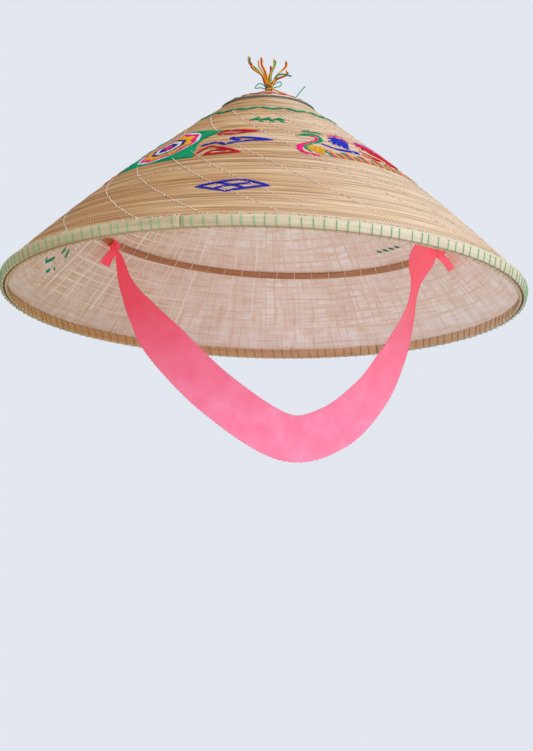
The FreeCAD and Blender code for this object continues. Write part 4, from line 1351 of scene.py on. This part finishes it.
def make_bird_breast():
    points = [(-42, -4), (-36, -2.6), (-31.5, -3), (-32.5, -9), (-35, -15), (-40, -15.5), (-43, -10)]
    stitches = [(YELLOW, satin([ring_curve(points, 50)], 62))]
    sew("bird_breast_satin", "yellow_thread", "bird_breast", BIRDS, stitches, 52)


def make_bird_wing():
    upper = [(-4.5, 8), (0, 15), (-2, 20), (-9, 20.5)]
    tips = [(-18, 15.4), (-14, 14.4), (-20.5, 8.8), (-15.5, 9.6), (-20.5, 5), (-15, 4), (-10, 1), (-7, 2)]
    stitches = [
        (BLUE, satin([np.array(tips + upper)], 40)),
        feather(PINK, [(-15, 20), (-9, 22.6), (-4, 22.4), (1, 16.5)], 40, [1.2, 2.0, 1.8, 1.0]),
        feather(BLUE, [(-28.5, 2.4), (-24, -1), (-18, -2.8), (-2, -1.6)], 40, [2.2, 3.0, 3.4, 4.4]),
    ]
    sew("bird_wing_satin", "blue_thread", "bird_wing", BIRDS, stitches, 53)


def make_bird_body():
    back = [(5, 14.5), (12, 16.5), (24, 17), (37, 14.5), (45, 8)]
    belly = [(44, 0), (34, -4), (23, -4.5), (27, 1), (13, 7)]
    stitches = [
        (RED, satin([ring_curve(back + belly, 70)], 28)),
        feather(RED, [(3, 5), (12, -0.5), (22, -3)], 20, [1.4, 2.2, 1.6]),
        feather(RED, [(1, -2), (8, -4), (16, -5)], 20, [1.2, 1.8, 1.2]),
        feather(PINK, [(3, 16.5), (13, 19.4), (26, 19.6), (39, 17), (47, 9)], 60, [1.2, 2.0, 2.0, 1.4]),
        feather(VIOLET, [(9, 21), (25, 22), (39, 19.4), (48, 11)], 50, [0.8, 1.6, 1.6, 0.9]),
    ]
    sew("bird_body_satin", "red_thread", "bird_body", BIRDS, stitches, 54)


def make_bird_bars():
    """A row of slanting bars in three colours, in groups of three long and three short."""
    stitches = []
    for i in range(40):
        x = -32 + 2.2 * i
        low = -17.6 + 0.02 * (x + 30)
        tall = 9.4 if (i // 3) % 2 == 0 else 5.6
        stitches.append(((GREEN, PINK, YELLOW)[i % 3], column([(x, low + tall), (x + 1.4, low)], [2.3, 2.4])))
    sew("bird_bars_satin", "green_thread", "bird_ground_bars", BIRDS, stitches, 55)


def lattice(look):
    """A diamond divided into four smaller ones by long stitches."""
    right, top, left, bottom = (24.2, -1.0), (3.6, 7.8), (-23.8, -0.8), (-3.4, -9.0)
    middles = [np.add(a, b) / 2 for a, b in ((right, top), (top, left), (left, bottom), (bottom, right))]
    return [
        (look, strands([right, top, left, bottom, right], 1.4, 4)),
        (look, strands([middles[0], middles[2]], 1.2, 3)),
        (look, strands([middles[1], middles[3]], 1.2, 3)),
    ]


def make_lattices():
    blue, green = lattice(BLUE), lattice(GREEN)
    sew("lattice_blue_stitches", "blue_thread", "lattice_diamonds_blue", BLUE_LATTICES, blue, 61)
    sew("lattice_green_stitches", "green_thread", "lattice_diamonds_green", GREEN_LATTICES, green, 62)


def make_sprig():
    """A generic leafy sprig on the front."""
    stitches = [(GREEN, strands([(-12, -1.2), (-4, 0.4), (4, -0.2), (12.5, 1.2)], 1.2, 3))]
    for x, side in ((-9.5, 1), (-6.0, -1), (-2.0, 1), (1.5, -1), (5.5, 1), (8.5, -1)):
        leaf = flowing([(x, 0), (x + 1.8, 2.4 * side), (x + 4.0, 4.4 * side)], 12)
        stitches.append((GREEN, column(leaf, [1.0, 2.6, 0.8], pitch=0.4)))
    sew("front_sprig_satin", "green_thread", "front_sprig", [SPRIG], stitches, 63)


def make_zigzag():
    """Long green stitches that zigzag round below the crown."""
    radius = float(section(ZIGZAG_SLANT)[0]) / MM
    step = math.pi * radius / ZIGZAG_COUNT
    starts = ZIGZAG_FIRST + station_bearings(ZIGZAG_COUNT)
    places = [(start, ZIGZAG_SLANT / RIM_RADIUS) for start in starts]
    corners = [(-step - 0.6, -2.0), (0, 1.9), (step + 0.6, -2.0)]
    sew("zigzag_stitches", "green_thread", "zigzag_border", places, [(GREEN, strands(corners, 1.7, 5))], 64)


def stitch_back_marks():
    """Thread ends inside the hat as (bearing, slant share, x, y, step in x, step in y), in millimetres."""
    lattice_ends = [
        (-7, 6, 5, 6),
        (3, 7, 2, 5),
        (-9, -6, 1, 1),
        (-4, -8, 2, -3),
        (6, 1, 5, -7),
        (11, -6, 5, 2),
    ]
    marks = [(bearing, 0.884, *ends) for bearing in (258.0, 78.0) for ends in lattice_ends]
    for i in range(4):
        marks += [(bearing + 2.9 * i, 0.655, 0, 0, 2.0, 0.8) for bearing in (126.0, 306.0)]
    return marks


def make_stitch_backs():
    """The ends of the embroidery threads, seen on the inside of the lining."""
    rng = np.random.default_rng(71)
    bundle = Bundle()
    t = np.linspace(0, 1, 6)
    lift = -SKIN_DEPTH - (0.32 * np.sin(math.pi * t) + 0.1) * MM
    for bearing, share, x, y, dx, dy in stitch_back_marks():
        for shift in (-1.0, 0.0, 1.0):
            slants = share * RIM_RADIUS - (y + dy * t + shift * 0.5) * MM
            turn = np.degrees((x + dx * t + shift) * MM / section(slants)[0])
            places = bearing + turn + rng.normal(0, 0.03)
            bundle.lay(places[None], slants[None], lift, 0.7 * MM, 0.3 * MM, face=-1)
    bundle.build("stitch_backs", [GREEN], "green_thread", "hat")


# Chin ribbon

TOOTH_PITCH = 2.8 * MM
TOOTH_DEPTH = 0.55 * MM
VISIBLE_THICKNESS = 0.45 * MM  # the real ribbon is thinner than the frame's


def knot_section():
    depth = SUPPORT_DEPTH + SUPPORT_THICKNESS + 4 * GAP + KNOT_RADIUS
    return section(SUPPORT_SLANT, depth)


def knot_centre(bearing):
    return with_support(turned(*knot_section(), bearing))


LEFT_KNOT = knot_centre(LEFT_KNOT_BEARING)
RIGHT_KNOT = knot_centre(RIGHT_KNOT_BEARING)
HANG = np.array([0, math.sin(TIP_BACK), -math.cos(TIP_BACK)])  # the way that the ribbon hangs


def turned_about(vectors, axes, degrees):
    """Vectors turned about unit axes that stand square to them."""
    angle = np.radians(degrees)[:, None]
    return vectors * np.cos(angle) + np.cross(axes, vectors) * np.sin(angle)


def ribbon_piece(name, centres, sides, widths, pleat, crease, node, body):
    """A strip of ribbon with pinked edges, pleats where it is gathered and a few long creases."""
    sides = unit(sides)[:, None, :]
    faces = unit(np.cross(np.gradient(centres, axis=0), sides[:, 0]))[:, None, :]
    length = lengths_along(centres)
    v = np.linspace(-1, 1, 21)
    tooth = TOOTH_DEPTH * (2 * np.abs((length / TOOTH_PITCH) % 1 - 0.5) - 0.5)
    half = widths[:, None] / 2 * v + tooth[:, None] * np.sign(v) * np.abs(v) ** 12
    gathered = pleat[:, None] * np.cos(3.0 * math.pi * v)
    cupped = 0.035 * widths[:, None] * (1 - v ** 2)
    lift = gathered + cupped + crease(length[:, None], v[None, :])
    middle = centres[:, None, :] + sides * half[..., None] + faces * lift[..., None]
    front = middle + faces * VISIBLE_THICKNESS / 2
    back = (middle - faces * VISIBLE_THICKNESS / 2)[:, ::-1]
    across = np.concatenate([half, half[:, ::-1]], axis=1)
    along = np.broadcast_to(length[:, None], across.shape)
    rings = np.concatenate([front, back], axis=1)
    piece = skin_mesh(name, rings, False, {"along": along, "across": across})
    finished(piece, [RIBBON_LOOK], "ribbon_fabric", body, node)


def chin_stations():
    """Stations along the ribbon: share of the way across, drop (mm), width (mm) and twist (degrees)."""
    return [
        (0.000, 3.2, 7, 85),
        (0.012, 7, 9, 55),
        (0.021, 14, 11, 42),
        (0.033, 24, 14, 36),
        (0.052, 34, 19, 34),
        (0.085, 47, 26, 26),
        (0.160, 70, 34, 12),
        (0.330, 108, 35, 3),
        (0.540, 138, 35, 0),
        (0.688, 131, 35, 14),
        (0.800, 106, 35, 38),
        (0.862, 80, 32, 52),
        (0.893, 62, 27, 60),
        (0.914, 46, 22, 70),
        (0.925, 33, 18, 76),
        (0.932, 22, 16, 66),
        (0.939, 13, 18, 40),
        (0.950, 4, 20, 22),
        (0.963, -5, 17, 18),
    ]


def make_ribbon():
    """The chin ribbon: a loop that hangs plumb and is gathered and twisted towards its two knots."""
    fine = flowing(np.array(chin_stations(), float), 900)
    across, drop, width, twist = fine.T
    path = LEFT_KNOT + (RIGHT_KNOT - LEFT_KNOT) * across[:, None] + HANG * drop[:, None] * MM
    length = lengths_along(path)
    wanted = np.linspace(0, length[-1], 680)
    path = np.stack([np.interp(wanted, length, path[:, i]) for i in range(3)], axis=-1)
    width = np.interp(wanted, length, width) * MM
    twist = np.interp(wanted, length, twist)
    normal = -unit(np.cross(HANG, RIGHT_KNOT - LEFT_KNOT))
    ahead = unit(np.gradient(path, axis=0))
    sides = turned_about(unit(np.cross(normal, ahead)), ahead, twist)
    pleat = 1.3 * MM * np.clip(1 - width / (28 * MM), 0, 1)
    total = wanted[-1]

    def crease(along, v):
        share = along / total
        left = np.exp(-((share - 0.14) / 0.13) ** 2)
        low = np.exp(-((share - 0.55) / 0.10) ** 2)
        fold = 1.1 * MM * left * np.exp(-((v + 0.15 - 1.2 * (share - 0.14)) / 0.16) ** 2)
        return fold + 0.5 * MM * low * np.sin(9 * share * math.pi + 1.5 * v)

    ribbon_piece("chin_ribbon_strip", path, sides, width, pleat, crease, "chin_ribbon", "ribbon")


def make_tail(side_name, bearing, dip):
    """The short free end of the ribbon, folded along its middle and cut with pinked edges."""
    radius, level = knot_section()
    angle = math.radians(dip)
    t = np.linspace(0, 1, 60)
    reach = (2.6 + 13.0 * t) * MM
    bow = 1.0 * MM * np.sin(math.pi * t)
    out = reach * math.cos(angle) + bow * math.sin(angle)
    up = bow * math.cos(angle) - reach * math.sin(angle)
    path = with_support(turned(radius + out, level + up, bearing))
    side = np.tile([math.cos(math.radians(bearing)), math.sin(math.radians(bearing)), 0.0], (len(t), 1))
    width = (7 + 6 * t ** 0.7) * MM
    pleat = 0.9 * MM * (1 - t)

    def crease(along, v):
        return 1.4 * MM * np.cos(math.pi * v / 2) * (along / (20 * MM)) - 0.5 * MM

    name = "ribbon_tail_" + side_name
    ribbon_piece(name + "_strip", path, side, width, pleat, crease, name, "tail_" + side_name)


def make_ribbon_knot(side_name, bearing):
    """A soft knot of folded ribbon tied round the support hoop."""
    radius, level = knot_section()
    bundle = Bundle()
    t = np.linspace(0, 2 * math.pi, 120, endpoint=False)
    big, small = 2.3 * MM, 1.5 * MM
    out = (big + small * np.cos(3 * t)) * np.cos(2 * t)
    up = (big + small * np.cos(3 * t)) * np.sin(2 * t)
    around = 0.9 * small * np.sin(3 * t)
    path = with_support(turned(radius + out, level + up, bearing + np.degrees(around / radius)))[None]
    away = unit(path - knot_centre(bearing))
    bundle.add(path, away, 1.7 * MM, 0.55 * MM, 8, closed=True)
    half = SUPPORT_WIDTH / 2 + 0.5 * MM
    near = SUPPORT_DEPTH - 0.2 * MM
    far = SUPPORT_DEPTH + SUPPORT_THICKNESS + 0.6 * MM
    rise = [(-half, near), (-half, far - 0.3 * MM), (-half + 1.2 * MM, far + 0.6 * MM)]
    slant, depth = even(over_support(rise), 24).T
    wrap_radius, wrap_level = section(SUPPORT_SLANT + slant, depth)
    axis = with_support(turned(0.0, SUPPORT_LEVEL, bearing))
    for shift in (-1.1, 0.0, 1.1):
        place = bearing + math.degrees(shift * MM / SUPPORT_RADIUS)
        wrap = with_support(turned(wrap_radius, wrap_level, place))
        bundle.add(wrap[None], unit(axis - wrap)[None], 0.9 * MM, 0.4 * MM, 8)
    name = "ribbon_knot_" + side_name
    piece = bundle.build(name + "_wraps", [RIBBON_LOOK], "ribbon_fabric", "hat", name)
    layer = piece.data.attributes.new("across", "FLOAT", "POINT")
    layer.data.foreach_set("value", np.zeros(len(piece.data.vertices), np.float32))


# Studio

FLOOR_DROP = 0.34  # the floor lies well below the hat, which hangs in the air
FLOOR_REACH = 18.0
SKY = colour(226, 231, 240)
AMBIENT = 0.82
KEY_POWER = 19.0
FRONT_POWER = 6.0
CAMERA_DISTANCE = 7.5 * RIM_RADIUS
CAMERA_AIM = Vector((0.0038, 0.0132, -0.0510))
CAMERA_ROLL = math.radians(1.46)
CAMERA_LENS = 93.6  # millimetres, on a sensor 36 wide


def make_floor():
    steps = np.linspace(-FLOOR_REACH, FLOOR_REACH, 9)
    x, y = np.meshgrid(steps, steps, indexing="ij")
    points = np.stack([x, y, np.full_like(x, cad_box[0].z - FLOOR_DROP)], axis=-1).reshape(-1, 3)
    floor = make_mesh("floor", points, [grid_faces(9, 9, False, False)[:, ::-1]])
    floor.data.materials.append(floor_material())


def make_world():
    """A pale surround, a little dimmer as light than as background."""
    world = bpy.data.worlds.new("studio")
    bpy.context.scene.world = world
    world.use_nodes = True
    tree = world.node_tree
    tree.nodes.clear()
    path = tree.nodes.new("ShaderNodeLightPath")
    mix = tree.nodes.new("ShaderNodeMixShader")
    output = tree.nodes.new("ShaderNodeOutputWorld")
    for place, strength in ((1, AMBIENT), (2, 1.0)):
        background = tree.nodes.new("ShaderNodeBackground")
        background.inputs["Color"].default_value = SKY
        background.inputs["Strength"].default_value = strength
        tree.links.new(background.outputs[0], mix.inputs[place])
    tree.links.new(path.outputs["Is Camera Ray"], mix.inputs[0])
    tree.links.new(mix.outputs[0], output.inputs["Surface"])




def lamp(name, place, size, power, shade):
    """A square soft light aimed at the hat."""
    data = bpy.data.lights.new(name, "AREA")
    data.size = size
    data.energy = power
    data.color = colour(*shade)[:3]
    light = bpy.data.objects.new(name, data)
    light.location = place
    aim = Vector((0, 0, 0.05)) - Vector(place)
    light.rotation_euler = aim.to_track_quat("-Z", "Y").to_euler()
    bpy.context.scene.collection.objects.link(light)


def make_camera():
    """The viewpoint: in front of the hat and a little below it, looking up under the rim."""
    place = Vector((0, -CAMERA_DISTANCE * math.cos(TIP_BACK), -CAMERA_DISTANCE * math.sin(TIP_BACK)))
    data = bpy.data.cameras.new("camera")
    data.sensor_width = 36.0
    data.lens = CAMERA_LENS
    data.clip_start, data.clip_end = 0.05, 20.0
    camera = bpy.data.objects.new("camera", data)
    turn = (CAMERA_AIM - place).to_track_quat("-Z", "Y").to_matrix().to_4x4()
    camera.matrix_world = Matrix.Translation(place) @ turn @ Matrix.Rotation(CAMERA_ROLL, 4, "Z")
    bpy.context.scene.collection.objects.link(camera)
    bpy.context.scene.camera = camera
    bpy.context.scene.view_settings.view_transform = "Standard"


make_cone()
make_lining_strips()
make_fringe()
make_hoops()
make_edge_cane()
make_lacing()
make_support()
make_support_stitches()
make_quilting()
make_cap()
make_ring()
make_crown_stitches()
make_tassel()
make_knot()
make_zigzag()
make_flowers()
make_leaves()
make_bird_head()
make_bird_breast()
make_bird_wing()
make_bird_body()
make_bird_bars()
make_lattices()
make_sprig()
make_stitch_backs()
make_ribbon()
make_tail("left", LEFT_KNOT_BEARING, 55)
make_tail("right", RIGHT_KNOT_BEARING, 46)
make_ribbon_knot("left", LEFT_KNOT_BEARING)
make_ribbon_knot("right", RIGHT_KNOT_BEARING)
make_floor()
make_world()
lamp("key", (1.5, -1.1, 0.9), 1.3, KEY_POWER, (255, 250, 242))
lamp("front", (0.2, -1.6, 0.5), 1.2, FRONT_POWER, (250, 250, 255))
make_camera()
